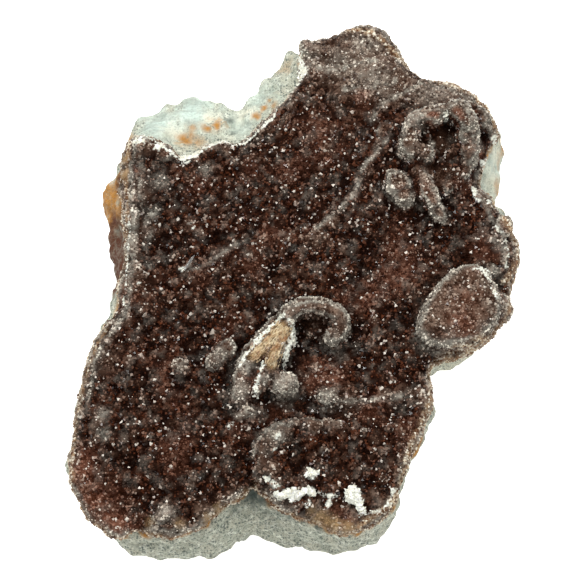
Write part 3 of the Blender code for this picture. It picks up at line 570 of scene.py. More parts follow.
def spot_mask(plan, spots, wobble):
    """Strongest mark of these spots at each place."""
    mask = np.zeros(len(plan))
    for x, y, radius, strength in spots:
        away = np.hypot(plan[:, 0] - x, plan[:, 1] - y)
        mask = np.maximum(mask, strength * falloff(away, radius * 1.45 * (1 + 0.3 * wobble)))
    return mask


def ball_mask(places, spots, wobble):
    """Strongest mark of spots that also have a height."""
    mask = np.zeros(len(places))
    for x, y, z, radius, strength in spots:
        away = places - (x, y, z)
        # Stains are drawn out downwards, so heights count less.
        away[:, 2] *= 0.45
        reach = radius * 1.5 * (1 + 0.45 * wobble)
        mask = np.maximum(mask, strength * falloff(np.linalg.norm(away, axis=1), reach))
    return mask


def write_mask(mesh, name, values):
    """Stores a number for each vertex under this name."""
    layer = mesh.attributes.new(name, "FLOAT", "POINT")
    layer.data.foreach_set("value", np.ascontiguousarray(values, dtype=np.float32))


def read_mask(mesh, name):
    """The number stored for each vertex under this name."""
    values = np.empty(len(mesh.vertices), dtype=np.float32)
    mesh.attributes[name].data.foreach_get("value", values)
    return values


def corners_of(mesh):
    """The vertex at each face corner."""
    corners = np.empty(len(mesh.loops), dtype=np.int32)
    mesh.loops.foreach_get("vertex_index", corners)
    return corners


def shade(mesh, smooth):
    """Sets all faces smooth or flat."""
    mesh.polygons.foreach_set("use_smooth", np.full(len(mesh.polygons), smooth))
    mesh.update()


# Node trees


def join(tree, node, sockets):
    """Sets a node's inputs to values, or joins them to other nodes' outputs."""
    for key, value in sockets.items():
        if isinstance(value, bpy.types.NodeSocket):
            tree.links.new(value, node.inputs[key])
        else:
            node.inputs[key].default_value = value


def add(tree, kind, sockets=None, **settings):
    """A new node with its settings, and with its inputs set or joined."""
    made = tree.nodes.new(kind)
    count = len(tree.nodes)
    made.location = (220 * (count % 9), -240 * (count // 9))
    for name, value in settings.items():
        setattr(made, name, value)
    join(tree, made, sockets or {})
    return made


def math_node(tree, operation, first, second=0.0, clamp=False):
    """The result of a Math node."""
    node = add(tree, "ShaderNodeMath", {0: first, 1: second}, operation=operation, use_clamp=clamp)
    return node.outputs[0]


def product(tree, first, second):
    """Two values multiplied."""
    return math_node(tree, "MULTIPLY", first, second)


def mixed(tree, share, first, second):
    """Two colours mixed."""
    made = add(tree, "ShaderNodeMix", {0: share, 6: first, 7: second}, data_type="RGBA")
    return made.outputs[2]


def mapped(tree, value, low, high, to_low=0.0, to_high=1.0):
    """A value stretched from one range to another, and kept inside it."""
    sockets = {"Value": value, "From Min": low, "From Max": high, "To Min": to_low, "To Max": to_high}
    return add(tree, "ShaderNodeMapRange", sockets).outputs["Result"]


def ramp(tree, value, stops):
    """A colour that runs through these stops as the value goes from 0 to 1."""
    made = add(tree, "ShaderNodeValToRGB", {"Fac": value})
    band = made.color_ramp
    for place, _ in stops[1:-1]:
        band.elements.new(place)
    for element, (place, shade_of) in zip(band.elements, stops):
        element.position = place
        element.color = colour(shade_of)
    return made.outputs[0]


def scaled(shade_of, share):
    """A colour made lighter or darker."""
    return tuple(part * share for part in shade_of)


def attribute(tree, name):
    """A stored number, read in a material."""
    return add(tree, "ShaderNodeAttribute", attribute_name=name).outputs["Fac"]


def stored(tree, name, kind="FLOAT"):
    """A stored number, read in a geometry tree."""
    return add(tree, "GeometryNodeInputNamedAttribute", {"Name": name}, data_type=kind).outputs[0]


def colour(values):
    """Three numbers as a colour with its alpha."""
    return (*values, 1.0)


def new_socket(tree, name, kind, direction="INPUT", default=None):
    """A named socket of a tree."""
    made = tree.interface.new_socket(name, in_out=direction, socket_type=kind)
    if default is not None:
        made.default_value = default


def geometry_tree(name, inputs):
    """A geometry node tree with its geometry in and out and these inputs."""
    tree = bpy.data.node_groups.new(name, "GeometryNodeTree")
    new_socket(tree, "Geometry", "NodeSocketGeometry")
    for label, kind, default in inputs:
        new_socket(tree, label, kind, default=default)
    new_socket(tree, "Geometry", "NodeSocketGeometry", "OUTPUT")
    entry = tree.nodes.new("NodeGroupInput")
    leave = tree.nodes.new("NodeGroupOutput")
    leave.location = (2200, 0)
    return tree, entry, leave


def run_tree(piece, tree, values):
    """Runs a geometry tree on the piece and keeps the result as its plain mesh."""
    modifier = piece.modifiers.new(tree.name, "NODES")
    modifier.node_group = tree
    names = {item.name: item.identifier for item in tree.interface.items_tree if item.in_out == "INPUT"}
    for label, value in values.items():
        modifier[names[label]] = value
    return baked_modifiers(piece)


def relief_tree():
    """Pushes a surface in and out along its normals: knobs, lumps and fine grain."""
    inputs = (
        ("Knob Width", "NodeSocketFloat", 2.4 * MM),
        ("Knob Height", "NodeSocketFloat", 0.4 * MM),
        ("Lump Width", "NodeSocketFloat", 6 * MM),
        ("Lump Height", "NodeSocketFloat", 0.5 * MM),
        ("Grain Width", "NodeSocketFloat", 1 * MM),
        ("Grain Height", "NodeSocketFloat", 0.1 * MM),
        ("Swell", "NodeSocketFloat", 0.0),
        ("Seed", "NodeSocketInt", 0),
    )
    tree, entry, leave = geometry_tree("Surface relief", inputs)
    given = entry.outputs
    place = add(tree, "GeometryNodeInputPosition").outputs[0]
    offset = product(tree, given["Seed"], 0.173)
    shift = add(tree, "ShaderNodeCombineXYZ", {0: offset, 1: offset, 2: offset}).outputs[0]
    place = add(tree, "ShaderNodeVectorMath", {0: place, 1: shift}, operation="ADD").outputs[0]
    scale = math_node(tree, "DIVIDE", 1.0, given["Knob Width"])
    sockets = {"Vector": place, "Scale": scale, "Smoothness": 0.25}
    knobs = add(tree, "ShaderNodeTexVoronoi", sockets, feature="SMOOTH_F1").outputs["Distance"]
    total = product(tree, math_node(tree, "SUBTRACT", 0.45, knobs), given["Knob Height"])
    for name, detail in (("Lump", 3.0), ("Grain", 4.0)):
        scale = math_node(tree, "DIVIDE", 1.0, given[name + " Width"])
        sockets = {"Vector": place, "Scale": scale, "Detail": detail}
        waves = add(tree, "ShaderNodeTexNoise", sockets).outputs["Fac"]
        rise = product(tree, math_node(tree, "SUBTRACT", waves, 0.5), given[name + " Height"])
        total = math_node(tree, "ADD", total, rise)
    total = math_node(tree, "ADD", total, given["Swell"])
    normal = add(tree, "GeometryNodeInputNormal").outputs[0]
    push = add(tree, "ShaderNodeVectorMath", {0: normal, "Scale": total}, operation="SCALE").outputs[0]
    moved = add(tree, "GeometryNodeSetPosition", {"Geometry": given["Geometry"], "Offset": push})
    tree.links.new(moved.outputs[0], leave.inputs[0])
    return tree


def relief_values(knob, lump, grain, swell, seed):
    """Inputs of the relief: width and height of knobs, lumps and grain, and the swell, in metres."""
    values = {"Swell": swell, "Seed": seed}
    for name, (width, height) in (("Knob", knob), ("Lump", lump), ("Grain", grain)):
        values[name + " Width"] = width
        values[name + " Height"] = height
    return values


def crystal_tree():
    """Covers a surface with crystals from a collection, each turned and sized at random."""
    inputs = (
        ("Forms", "NodeSocketCollection", None),
        ("Material", "NodeSocketMaterial", None),
        ("Spacing", "NodeSocketFloat", 0.4 * MM),
        ("Size", "NodeSocketFloat", 0.4 * MM),
        ("Size Spread", "NodeSocketFloat", 0.4),
        ("Field", "NodeSocketInt", 0),
        ("Seed", "NodeSocketInt", 0),
    )
    tree, entry, leave = geometry_tree("Crystal cover", inputs)
    given = entry.outputs
    cover, field, growth = stored(tree, "cover"), stored(tree, "field", "INT"), stored(tree, "growth")
    sockets = {
        "Mesh": given["Geometry"],
        "Distance Min": given["Spacing"],
        "Density Max": MOST_CRYSTALS,
        "Density Factor": cover,
        "Seed": given["Seed"],
    }
    scattered = add(tree, "GeometryNodeDistributePointsOnFaces", sockets, distribute_method="POISSON")
    sockets = {2: field, 3: given["Field"]}
    elsewhere = add(tree, "FunctionNodeCompare", sockets, data_type="INT", operation="NOT_EQUAL").outputs[0]
    sockets = {"Geometry": scattered.outputs["Points"], "Selection": elsewhere}
    kept = add(tree, "GeometryNodeDeleteGeometry", sockets, domain="POINT").outputs[0]
    tone = add(tree, "FunctionNodeRandomValue", {"Seed": math_node(tree, "ADD", given["Seed"], 5)})
    sockets = {"Geometry": kept, "Name": "tone", "Value": tone.outputs[1]}
    toned = add(tree, "GeometryNodeStoreNamedAttribute", sockets, data_type="FLOAT", domain="POINT")
    sockets = {"Collection": given["Forms"], "Separate Children": True, "Reset Children": True}
    forms = add(tree, "GeometryNodeCollectionInfo", sockets).outputs[0]
    sockets = {0: (0, 0, 0), 1: (math.tau,) * 3, "Seed": math_node(tree, "ADD", given["Seed"], 1)}
    turn = add(tree, "FunctionNodeRandomValue", sockets, data_type="FLOAT_VECTOR").outputs[0]
    sockets = {
        2: math_node(tree, "SUBTRACT", 1.0, given["Size Spread"]),
        3: math_node(tree, "ADD", 1.0, given["Size Spread"]),
        "Seed": math_node(tree, "ADD", given["Seed"], 2),
    }
    spread = add(tree, "FunctionNodeRandomValue", sockets).outputs[1]
    size = product(tree, product(tree, spread, given["Size"]), growth)
    sockets = {"Points": toned.outputs[0], "Instance": forms, "Pick Instance": True}
    sockets |= {"Rotation": turn, "Scale": size}
    copies = add(tree, "GeometryNodeInstanceOnPoints", sockets).outputs[0]
    real = add(tree, "GeometryNodeRealizeInstances", {"Geometry": copies}).outputs[0]
    painted = add(tree, "GeometryNodeSetMaterial", {"Geometry": real, "Material": given["Material"]})
    tree.links.new(painted.outputs[0], leave.inputs[0])
    return tree


# Crystal forms


def hull(name, corners):
    """A closed faceted body round these corners, with its flat faces whole."""
    body = bmesh.new()
    for corner in corners:
        body.verts.new(corner)
    made = bmesh.ops.convex_hull(body, input=body.verts)
    loose = [v for v in made["geom_interior"] + made["geom_unused"] if isinstance(v, bmesh.types.BMVert)]
    bmesh.ops.delete(body, geom=list(set(loose)), context="VERTS")
    bmesh.ops.dissolve_limit(body, angle_limit=math.radians(1), verts=body.verts, edges=body.edges)
    bmesh.ops.recalc_face_normals(body, faces=body.faces)
    return bpy.data.objects.new(name, mesh_from(body, name))


def tetrahedral_corners(cut):
    """Corners of a tetrahedron with its points cut off by this share of an edge."""
    tips = np.array(((1, 1, 1), (1, -1, -1), (-1, 1, -1), (-1, -1, 1)), dtype=float)
    corners = []
    for one in range(4):
        for other in range(4):
            if one != other:
                corners.append(tips[one] + (tips[other] - tips[one]) * cut)
    corners = np.array(corners)
    return corners / np.linalg.norm(corners, axis=1).max()


def crystal_forms(name, seed, cut_forms, octahedra, splinters):
    """A collection of small crystal bodies of radius 1, out of the scene."""
    chance = np.random.default_rng(seed)
    forms = bpy.data.collections.new(name)
    for number in range(cut_forms):
        corners = tetrahedral_corners(chance.uniform(0.14, 0.26)) * chance.uniform(0.85, 1.1, 3)
        forms.objects.link(hull(f"{name}_cut_{number}", corners))
    for number in range(octahedra):
        corners = np.vstack((np.eye(3), -np.eye(3))) * chance.uniform(0.7, 1.1, 3)
        corners += chance.normal(scale=0.10, size=corners.shape)
        forms.objects.link(hull(f"{name}_octahedron_{number}", corners))
    for number in range(splinters):
        corners = chance.normal(size=(7, 3))
        corners /= np.linalg.norm(corners, axis=1)[:, None]
        forms.objects.link(hull(f"{name}_splinter_{number}", corners * chance.uniform(0.75, 1.1, 3)))
    return forms


def discard(collection):
    """Removes a collection of forms once it has been used."""
    for item in list(collection.objects):
        mesh = item.data
        bpy.data.objects.remove(item)
        bpy.data.meshes.remove(mesh)
    bpy.data.collections.remove(collection)


# Materials


def mottle_group():
    """Node group: cloudy mottling and fine dark specks for any stone."""
    found = bpy.data.node_groups.get("Stone mottle")
    if found is not None:
        return found
    tree = bpy.data.node_groups.new("Stone mottle", "ShaderNodeTree")
    new_socket(tree, "Vector", "NodeSocketVector")
    new_socket(tree, "Cloud Scale", "NodeSocketFloat", default=200.0)
    new_socket(tree, "Speck Scale", "NodeSocketFloat", default=1500.0)
    new_socket(tree, "Speck Share", "NodeSocketFloat", default=0.2)
    new_socket(tree, "Clouds", "NodeSocketFloat", "OUTPUT")
    new_socket(tree, "Specks", "NodeSocketFloat", "OUTPUT")
    new_socket(tree, "Height", "NodeSocketFloat", "OUTPUT")
    entry = tree.nodes.new("NodeGroupInput").outputs
    leave = tree.nodes.new("NodeGroupOutput")
    leave.location = (2000, 0)
    sockets = {"Vector": entry["Vector"], "Scale": entry["Cloud Scale"], "Detail": 5.0, "Roughness": 0.6}
    clouds = add(tree, "ShaderNodeTexNoise", sockets).outputs["Fac"]
    sockets = {"Vector": entry["Vector"], "Scale": entry["Speck Scale"]}
    grains = add(tree, "ShaderNodeTexVoronoi", sockets | {"Randomness": 1.0}, feature="F1")
    pick = add(tree, "ShaderNodeSeparateColor", {0: grains.outputs["Color"]}).outputs[0]
    chosen = math_node(tree, "LESS_THAN", pick, entry["Speck Share"])
    specks = product(tree, chosen, mapped(tree, grains.outputs["Distance"], 0.25, 0.6, 1.0, 0.0))
    fine = add(tree, "ShaderNodeTexNoise", sockets | {"Detail": 3.0}).outputs["Fac"]
    height = math_node(tree, "ADD", fine, product(tree, grains.outputs["Distance"], 0.5))
    join(tree, leave, {"Clouds": mapped(tree, clouds, 0.3, 0.7), "Specks": specks, "Height": height})
    return tree


def new_material(name):
    """A material with an empty Principled shader: its tree and that shader."""
    made = bpy.data.materials.new(name)
    made.use_nodes = True
    made.node_tree.nodes.clear()
    tree = made.node_tree
    shader = add(tree, "ShaderNodeBsdfPrincipled")
    output = add(tree, "ShaderNodeOutputMaterial", {"Surface": shader.outputs[0]})
    output.location = (2400, 0)
    return made, tree, shader


def mottle(tree, cloud, speck, share, stretch=None):
    """The mottling group placed in a material with its own sizes, drawn out if a stretch is given."""
    place = add(tree, "ShaderNodeTexCoord").outputs["Object"]
    if stretch is not None:
        turned = {"Vector": place, "Rotation": (0.0, 0.0, STREAK_TURN), "Scale": stretch}
        place = add(tree, "ShaderNodeMapping", turned).outputs[0]
    sockets = {"Vector": place, "Cloud Scale": cloud, "Speck Scale": speck, "Speck Share": share}
    return add(tree, "ShaderNodeGroup", sockets, node_tree=mottle_group()).outputs


def bumped(tree, shader, height, strength, distance):
    """Feeds a height to the shader's normal."""
    bump = add(tree, "ShaderNodeBump", {"Height": height, "Strength": strength, "Distance": distance})
    tree.links.new(bump.outputs[0], shader.inputs["Normal"])


def druse_colour(tree, settings, tone, clouds):
    """Colour of a druse crystal from its own tone and the marks of the place it grows on."""
    brown, red, grey, frost = settings.druse_brown, settings.druse_red, settings.druse_grey, settings.frost
    lift = product(tree, mapped(tree, clouds, 0.0, 1.0, -0.5, 0.5), 0.30)
    # Painted shade: crystals in hollows and recesses are made darker.
    lift = math_node(tree, "SUBTRACT", lift, product(tree, attribute(tree, "dusk"), 0.45))
    level = math_node(tree, "ADD", tone, lift, True)
    plain = (
        (0.0, scaled(brown, 0.4)),
        (0.35, brown),
        (0.62, red),
        (0.84, scaled(red, 1.7)),
        (1.0, scaled(grey, 1.4)),
    )
    rosy = (
        (0.0, (0.050, 0.023, 0.013)),
        (0.35, (0.120, 0.072, 0.050)),
        (0.60, (0.210, 0.145, 0.106)),
        (0.85, (0.370, 0.285, 0.220)),
        (1.0, (0.700, 0.630, 0.520)),
    )
    frosty = (
        (0.0, scaled(grey, 0.6)),
        (0.25, scaled(frost, 0.42)),
        (0.60, scaled(frost, 0.85)),
        (0.90, scaled(frost, 1.3)),
        (1.0, scaled(frost, 1.5)),
    )
    # Pinkish-brown crowns, and painted highlight on the tops of lumps and knobs.
    made = mixed(tree, attribute(tree, "blush"), ramp(tree, level, plain), ramp(tree, level, rosy))
    auburn, rust, salmon = (0.125, 0.045, 0.026), (0.26, 0.12, 0.078), (0.48, 0.32, 0.24)
    warm = ramp(tree, level, ((0.0, red), (0.25, auburn), (0.60, rust), (1.0, salmon)))
    made = mixed(tree, attribute(tree, "warm"), made, warm)
    # A share of the crystals is made pale: clear pale crystals, and painted glints that stand in for
    # sparkle.
    pale = (0.70, 0.64, 0.56, 1.0)
    made = mixed(tree, mapped(tree, tone, 0.935, 0.990, 0.0, 0.9), made, pale)
    # Rim colours: the crust's paler edge, partly painted glow along the backlit edge.
    umber, tan, cream = (0.26, 0.145, 0.075), (0.54, 0.39, 0.24), (0.86, 0.80, 0.64)
    rim = ramp(tree, tone, ((0.0, scaled(red, 1.6)), (0.2, umber), (0.5, tan), (0.8, cream)))
    # Frosty crests, and painted sheen on the shoulders of lumps and on knob tops.
    made = mixed(tree, attribute(tree, "frost"), made, ramp(tree, tone, frosty))
    made = mixed(tree, attribute(tree, "rim"), made, rim)
    return mixed(tree, attribute(tree, "tan"), made, colour(settings.core_tan))


def crystal_material(settings):
    """Glossy dark red-brown crystals that turn frosty on the crests, with painted sheen on lump shoulders
    and knob tops.
    """
    made, tree, shader = new_material("Sphalerite crystals")
    outputs = mottle(tree, cloud=130.0, speck=2500.0, share=0.1)
    tone = attribute(tree, "tone")
    body = druse_colour(tree, settings, tone, outputs["Clouds"])
    roughness = mapped(tree, attribute(tree, "frost"), 0.1, 0.8, 0.16, 0.36)
    join(tree, shader, {"Base Color": body, "Roughness": roughness, "IOR": 1.22})
    bumped(tree, shader, outputs["Height"], strength=0.10, distance=0.05 * MM)
    return made


def skin_material(settings):
    """The dark fine-grained crust that shows between the crystals."""
    made, tree, shader = new_material("Druse crust")
    outputs = mottle(tree, cloud=220.0, speck=2600.0, share=0.25)
    tone = mapped(tree, outputs["Clouds"], 0.0, 1.0, 0.05, 0.50)
    body = druse_colour(tree, settings, tone, outputs["Clouds"])
    body = mixed(tree, attribute(tree, "chalk"), body, colour(settings.chalk))
    join(tree, shader, {"Base Color": body, "Roughness": 0.7, "IOR": 1.1})
    bumped(tree, shader, outputs["Height"], strength=0.5, distance=0.15 * MM)
    return made


def chalk_material(settings):
    """White sugary crystals with a faint cream stain."""
    made, tree, shader = new_material("White crystals")
    outputs = mottle(tree, cloud=300.0, speck=2800.0, share=0.12)
    tone = attribute(tree, "tone")
    buff, grit = (0.62, 0.56, 0.42, 1.0), (0.25, 0.22, 0.18, 1.0)
    body = mixed(tree, mapped(tree, tone, 0.55, 1.0, 0.0, 0.55), colour(settings.chalk), buff)
    body = mixed(tree, product(tree, outputs["Specks"], 0.4), body, grit)
    roughness = mapped(tree, tone, 0.0, 1.0, 0.25, 0.6)
    join(tree, shader, {"Base Color": body, "Roughness": roughness, "IOR": 1.55})
    bumped(tree, shader, outputs["Height"], strength=0.2, distance=0.05 * MM)
    return made


def core_material(settings):
    """Fibrous tan core of the broken hook."""
    made, tree, shader = new_material("Hook core")
    outputs = mottle(tree, cloud=420.0, speck=2200.0, share=0.2)
    tone = attribute(tree, "tone")
    straw, rust, grit = (0.66, 0.55, 0.36, 1.0), (0.30, 0.125, 0.045, 1.0), (0.06, 0.04, 0.025, 1.0)
    body = mixed(tree, mapped(tree, tone, 0.0, 1.0), colour(settings.core_tan), straw)
    body = mixed(tree, mapped(tree, outputs["Clouds"], 0.45, 0.90, 0.0, 0.80), body, rust)
    body = mixed(tree, product(tree, outputs["Specks"], 0.6), body, grit)
    join(tree, shader, {"Base Color": body, "Roughness": mapped(tree, tone, 0.0, 1.0, 0.4, 0.7)})
    bumped(tree, shader, outputs["Height"], strength=0.3, distance=0.08 * MM)
    return made


def rock_material(settings):
    """Pale grey-green rock with dark specks, a mint shelf and ochre and rust stains."""
    made, tree, shader = new_material("Pale rock")
    outputs = mottle(tree, cloud=240.0, speck=1400.0, share=0.50)
    finer = mottle(tree, cloud=700.0, speck=3400.0, share=0.45)
    clouds, specks = outputs["Clouds"], outputs["Specks"]
    sand, fleck, cream = (0.52, 0.51, 0.40, 1.0), (0.80, 0.82, 0.70, 1.0), (0.84, 0.82, 0.66, 1.0)
    ochre_brown, rust_brown = (0.44, 0.20, 0.035, 1.0), (0.095, 0.029, 0.011, 1.0)
    dark_mark_and_shade, speck, fine_speck = (0.042, 0.060, 0.050, 1.0), (0.10, 0.13, 0.11, 1.0), (0.12, 0.14, 0.12, 1.0)
    body = mixed(tree, mapped(tree, clouds, 0.1, 0.9), colour(settings.rock_grey), sand)
    body = mixed(tree, mapped(tree, finer["Clouds"], 0.50, 0.9, 0.0, 0.9), body, fleck)
    streaks = mottle(tree, cloud=320.0, speck=900.0, share=0.30, stretch=(0.30, 1.6, 1.0))
    dull, bright = (colour(scaled(settings.rock_mint, share)) for share in (0.62, 1.20))
    mint = mixed(tree, mapped(tree, streaks["Clouds"], 0.10, 0.80), dull, bright)
    body = mixed(tree, attribute(tree, "mint"), body, mint)
    # Cream marks: pale patches, partly painted glow along the backlit outer edges.
    body = mixed(tree, attribute(tree, "cream"), body, cream)
    broken = mapped(tree, finer["Clouds"], 0.15, 0.60, 0.75, 1.0)
    ochre = product(tree, attribute(tree, "ochre"), broken)
    body = mixed(tree, ochre, body, ochre_brown)
    rust = product(tree, attribute(tree, "rust"), broken)
    body = mixed(tree, rust, body, rust_brown)
    # Dark marks, partly painted shade, as in the hole under the crust by the knot.
    body = mixed(tree, attribute(tree, "dark"), body, dark_mark_and_shade)
    paler = mapped(tree, attribute(tree, "mint"), 0.0, 0.6, 0.90, 0.22)
    paler = product(tree, paler, mapped(tree, attribute(tree, "rust"), 0.0, 0.8, 1.0, 0.15))
    paler = product(tree, paler, mapped(tree, attribute(tree, "ochre"), 0.0, 0.8, 1.0, 0.35))
    body = mixed(tree, product(tree, specks, paler), body, speck)
    body = mixed(tree, product(tree, finer["Specks"], paler), body, fine_speck)
    roughness = mapped(tree, clouds, 0.0, 1.0, 0.75, 0.95)
    join(tree, shader, {"Base Color": body, "Roughness": roughness, "IOR": 1.4})
    height = math_node(tree, "ADD", outputs["Height"], finer["Height"])
    height = math_node(tree, "ADD", height, product(tree, streaks["Clouds"], 0.8))
    bumped(tree, shader, height, strength=0.8, distance=0.32 * MM)
    return made


def prism_material():
    """Clear colourless crystal."""
    made, tree, shader = new_material("Clear prism")
    outputs = mottle(tree, cloud=500.0, speck=3000.0, share=0.1)
    body = mixed(tree, outputs["Clouds"], (0.86, 0.88, 0.86, 1.0), (0.97, 0.97, 0.95, 1.0))
    roughness = mapped(tree, outputs["Clouds"], 0.0, 1.0, 0.03, 0.12)
    clear = {"IOR": 1.54, "Transmission Weight": 0.85}
    join(tree, shader, {"Base Color": body, "Roughness": roughness} | clear)
    return made


# Pieces


def keep(piece, slot, *nodes):
    """Rides the finished piece on the specimen and hides the CAD nodes it replaces."""
    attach(piece, "root")
    if nodes:
        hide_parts(*nodes)


def lay_out(mesh):
    """Gives the crystals a map seen from straight above, so that their colours can be baked."""
    layer = mesh.uv_layers.new(name="OFBake")
    points = points_of(mesh)[:, :2]
    low = points.min(axis=0)
    side = (points.max(axis=0) - low).max()
    flat = (points[corners_of(mesh)] - low) / side * 0.996 + 0.002
    layer.data.foreach_set("uv", flat.astype(np.float32).ravel())


def roughened(node, name, grain, values, rounds):
    """A CAD node as an even mesh of this grain, smoothed some rounds over and then given its relief."""
    piece = remeshed(node_copy(node, name), grain)
    mesh = piece.data
    move_points(mesh, relaxed(points_of(mesh), edges_of(mesh), rounds))
    tree = bpy.data.node_groups.get("Surface relief") or relief_tree()
    return run_tree(piece, tree, values)


def skin_finder(context):
    """The skin of the druse, ready to be asked what lies nearest or under a place."""
    return BVHTree.FromObject(bpy.data.objects["druse_skin"], context.evaluated_depsgraph_get())


def edge_wobble(places, *patterns):
    """How far the edge of a mark wanders at each place, from patterns of this name, width and share."""
    total = sum(ripple(places, width, name) * share for name, width, share in patterns)
    return np.clip(total, -1, 1)


def step_up(values, low, high):
    """0 below the low value and 1 above the high one, with a smooth slope."""
    share = np.clip((values - low) / (high - low), 0, 1)
    return share * share * (3 - 2 * share)


def mark_skin(mesh):
    """Works out frosting, chalk, crowns, warmth, rim, tan and painted sheen, highlight, glow and shade for
    the crust.
    """
    points = points_of(mesh)
    edges = edges_of(mesh)
    normals = relaxed(normals_of(mesh), edges, 3)
    normals /= np.linalg.norm(normals, axis=1)[:, None]
    places = drawing(points)
    plan, height = places[:, :2], places[:, 2]
    wobble = edge_wobble(places, ("edge", 3.0, 0.6), ("fine edge", 1.3, 0.5))
    # How far each place stands out, as part of a knob and as part of a lump.
    near = relaxed(points, edges, KNOB_ROUNDS)
    far = relaxed(near, edges, LUMP_ROUNDS)
    near_rise = ((points - near) * normals).sum(axis=1) / MM
    far_rise = ((near - far) * normals).sum(axis=1) / MM
    # Lumps, the slopes round their tops, the tops themselves, and the crust's outer wall.
    lean = 1 - normals[:, 2]
    lump = step_up(far_rise, 0.10, 0.55)
    shoulder = lump * step_up(lean, 0.08, 0.40)
    # Lump tops, which get painted highlight in the crowns' colour.
    crown = lump * (1 - step_up(lean, 0.05, 0.35))
    upward = np.clip(normals[:, 2] * 2.5 + 1.0, 0, 1)
    outer = step_up(lean, 0.35, 0.85) * step_up(EDGE_TOP - height, 0, 3.0)
    # Painted sheen: the slopes round the lumps' tops turn frosty and pale, as steep facets there would catch
    # light.
    frost = 0.85 * shoulder * (1 - 0.6 * outer)
    broken = np.clip(0.80 + 0.45 * ripple(places, 1.9, "frost gaps"), 0.25, 1.15)
    frost = np.maximum(frost, line_mask(plan, FROST_LINES, wobble) * broken)
    frost = np.maximum(frost, spot_mask(plan, FROST_AND_HIGHLIGHT_SPOTS, wobble))
    haze = ripple(places, 4.2, "haze") + 0.5 * ripple(places, 1.8, "fine haze")
    haze = step_up(haze, 0.20, 1.10)
    frost = np.maximum(frost, 0.15 * haze)
    grain = 0.35 * ripple(places, 1.1, "frost grain")
    # Knob tops get more of the frosting and painted sheen, and the hollows between them less.
    frost *= 0.80 + grain + np.clip(near_rise / 0.12, -1, 1) * 0.25
    chalk = np.maximum(line_mask(plan, CHALK_LINES, wobble), spot_mask(plan, CHALK_SPOTS, wobble))
    chalk = np.clip((chalk * (1 + 0.6 * ripple(places, 0.8, "chalk")) - 0.30) / 0.30, 0, 1)
    warm = spot_mask(plan, WARM_SPOTS, wobble)
    warm = np.maximum(warm, np.clip(ripple(places, 14.0, "warmth") * 0.30 - 0.10, 0, 0.35))
    # Painted shade: the listed recesses, the hollows between lumps and those between knobs are darkened.
    dusk = np.maximum(spot_mask(plan, PAINTED_SHADE_SPOTS, wobble), np.clip(-far_rise / 0.5 * 0.9 - 0.1, 0, 0.8))
    rim_and_glow_line = line_mask(plan, RIM_AND_GLOW_LINES, wobble)
    # Knob tops, which get painted highlight in the crowns' colour.
    fine_lump = step_up(near_rise, 0.0, 0.12)
    dusk = dusk + 0.35 * step_up(-near_rise, 0.0, 0.12)
    marks = {
        "frost": frost * upward,
        "chalk": chalk * upward,
        # Crowns: pinkish-brown places, with painted highlight on lump tops and knob tops.
        "blush": np.maximum(0.6 * crown, spot_mask(plan, BLUSH_AND_HIGHLIGHT_SPOTS, wobble)) + 0.22 * fine_lump,
        "warm": warm,
        # Rim: the crust's paler outer wall and edge fringe, partly painted glow along the backlit edge.
        "rim": np.maximum(outer, rim_and_glow_line) * (0.75 + 0.35 * ripple(places, 2.0, "rim")),
        "tan": spot_mask(plan, TAN_SPOTS, wobble) * (chalk < 0.5),
        "dusk": dusk,
    }
    for name, values in marks.items():
        write_mask(mesh, name, np.clip(values, 0, 1))


class MINERAL_OT_crust(Operator):
    """Make the fine crust that the druse crystals stand on"""

    bl_idname = "mineral.crust"
    bl_label = "Druse Crust"

    def execute(self, context):
        settings = context.scene.druse
        # The knobs run from as far above the surface to as far below it.
        knob = (2.3 * MM, settings.knob_height * 2.0)
        lump, grain = (5.5 * MM, 0.9 * MM), (1.1 * MM, 0.35 * MM)
        values = relief_values(knob, lump, grain, swell=0.12 * MM, seed=settings.seed)
        piece = roughened("druse_crust", "druse_skin", settings.skin_grain, values, rounds=10)
        mark_skin(piece.data)
        shade(piece.data, True)
        paint(piece.data, skin_material(settings))
        keep(piece, "sphalerite_druse", "druse_crust")
        return {"FINISHED"}


class MINERAL_OT_crystals(Operator):
    """Grow the druse's small crystals over the crust, field by field"""

    bl_idname = "mineral.crystals"
    bl_label = "Druse Crystals"

    def execute(self, context):
        settings = context.scene.druse
        skin = bpy.data.objects["druse_skin"]
        places = drawing(points_of(skin.data))
        normals = normals_of(skin.data)
        middles = np.array([middle for _, middle in FIELDS])
        away = np.linalg.norm(places[:, None, :2] - middles[None, :, :], axis=2)
        nearest = away.argmin(axis=1)
        chalk, frost = read_mask(skin.data, "chalk"), read_mask(skin.data, "frost")
        # None grow under overhangs or low down on the outer wall.
        ground = np.clip(normals[:, 2] * 3 + 1.6, 0, 1) * (places[:, 2] > CRYSTAL_FLOOR)
        base = skin.data.copy()
        write_mask(base, "cover", ground * (1 - chalk))
        write_mask(base, "growth", (1 + 0.25 * ripple(places, 5.0, "growth")) * (1 - 0.2 * frost))
        layer = base.attributes.new("field", "INT", "FACE")
        first = np.empty(len(base.polygons), dtype=np.int32)
        base.polygons.foreach_get("loop_start", first)
        layer.data.foreach_set("value", nearest[corners_of(base)[first]].astype(np.int32))
        tree = crystal_tree()
        forms = crystal_forms("druse_form", settings.seed, cut_forms=2, octahedra=5, splinters=5)
        values = {
            "Forms": forms,
            "Material": crystal_material(settings),
            "Spacing": settings.crystal_spacing,
            "Size": settings.crystal_size,
            "Size Spread": DRUSE_SPREAD,
            "Seed": settings.seed,
        }
        for number, (name, _) in enumerate(FIELDS):
            piece = new_object(name, base.copy())
            run_tree(piece, tree, values | {"Field": number})
            shade(piece.data, False)
            lay_out(piece.data)
            keep(piece, "sphalerite_druse")
        discard(forms)
        bpy.data.meshes.remove(base)
        return {"FINISHED"}


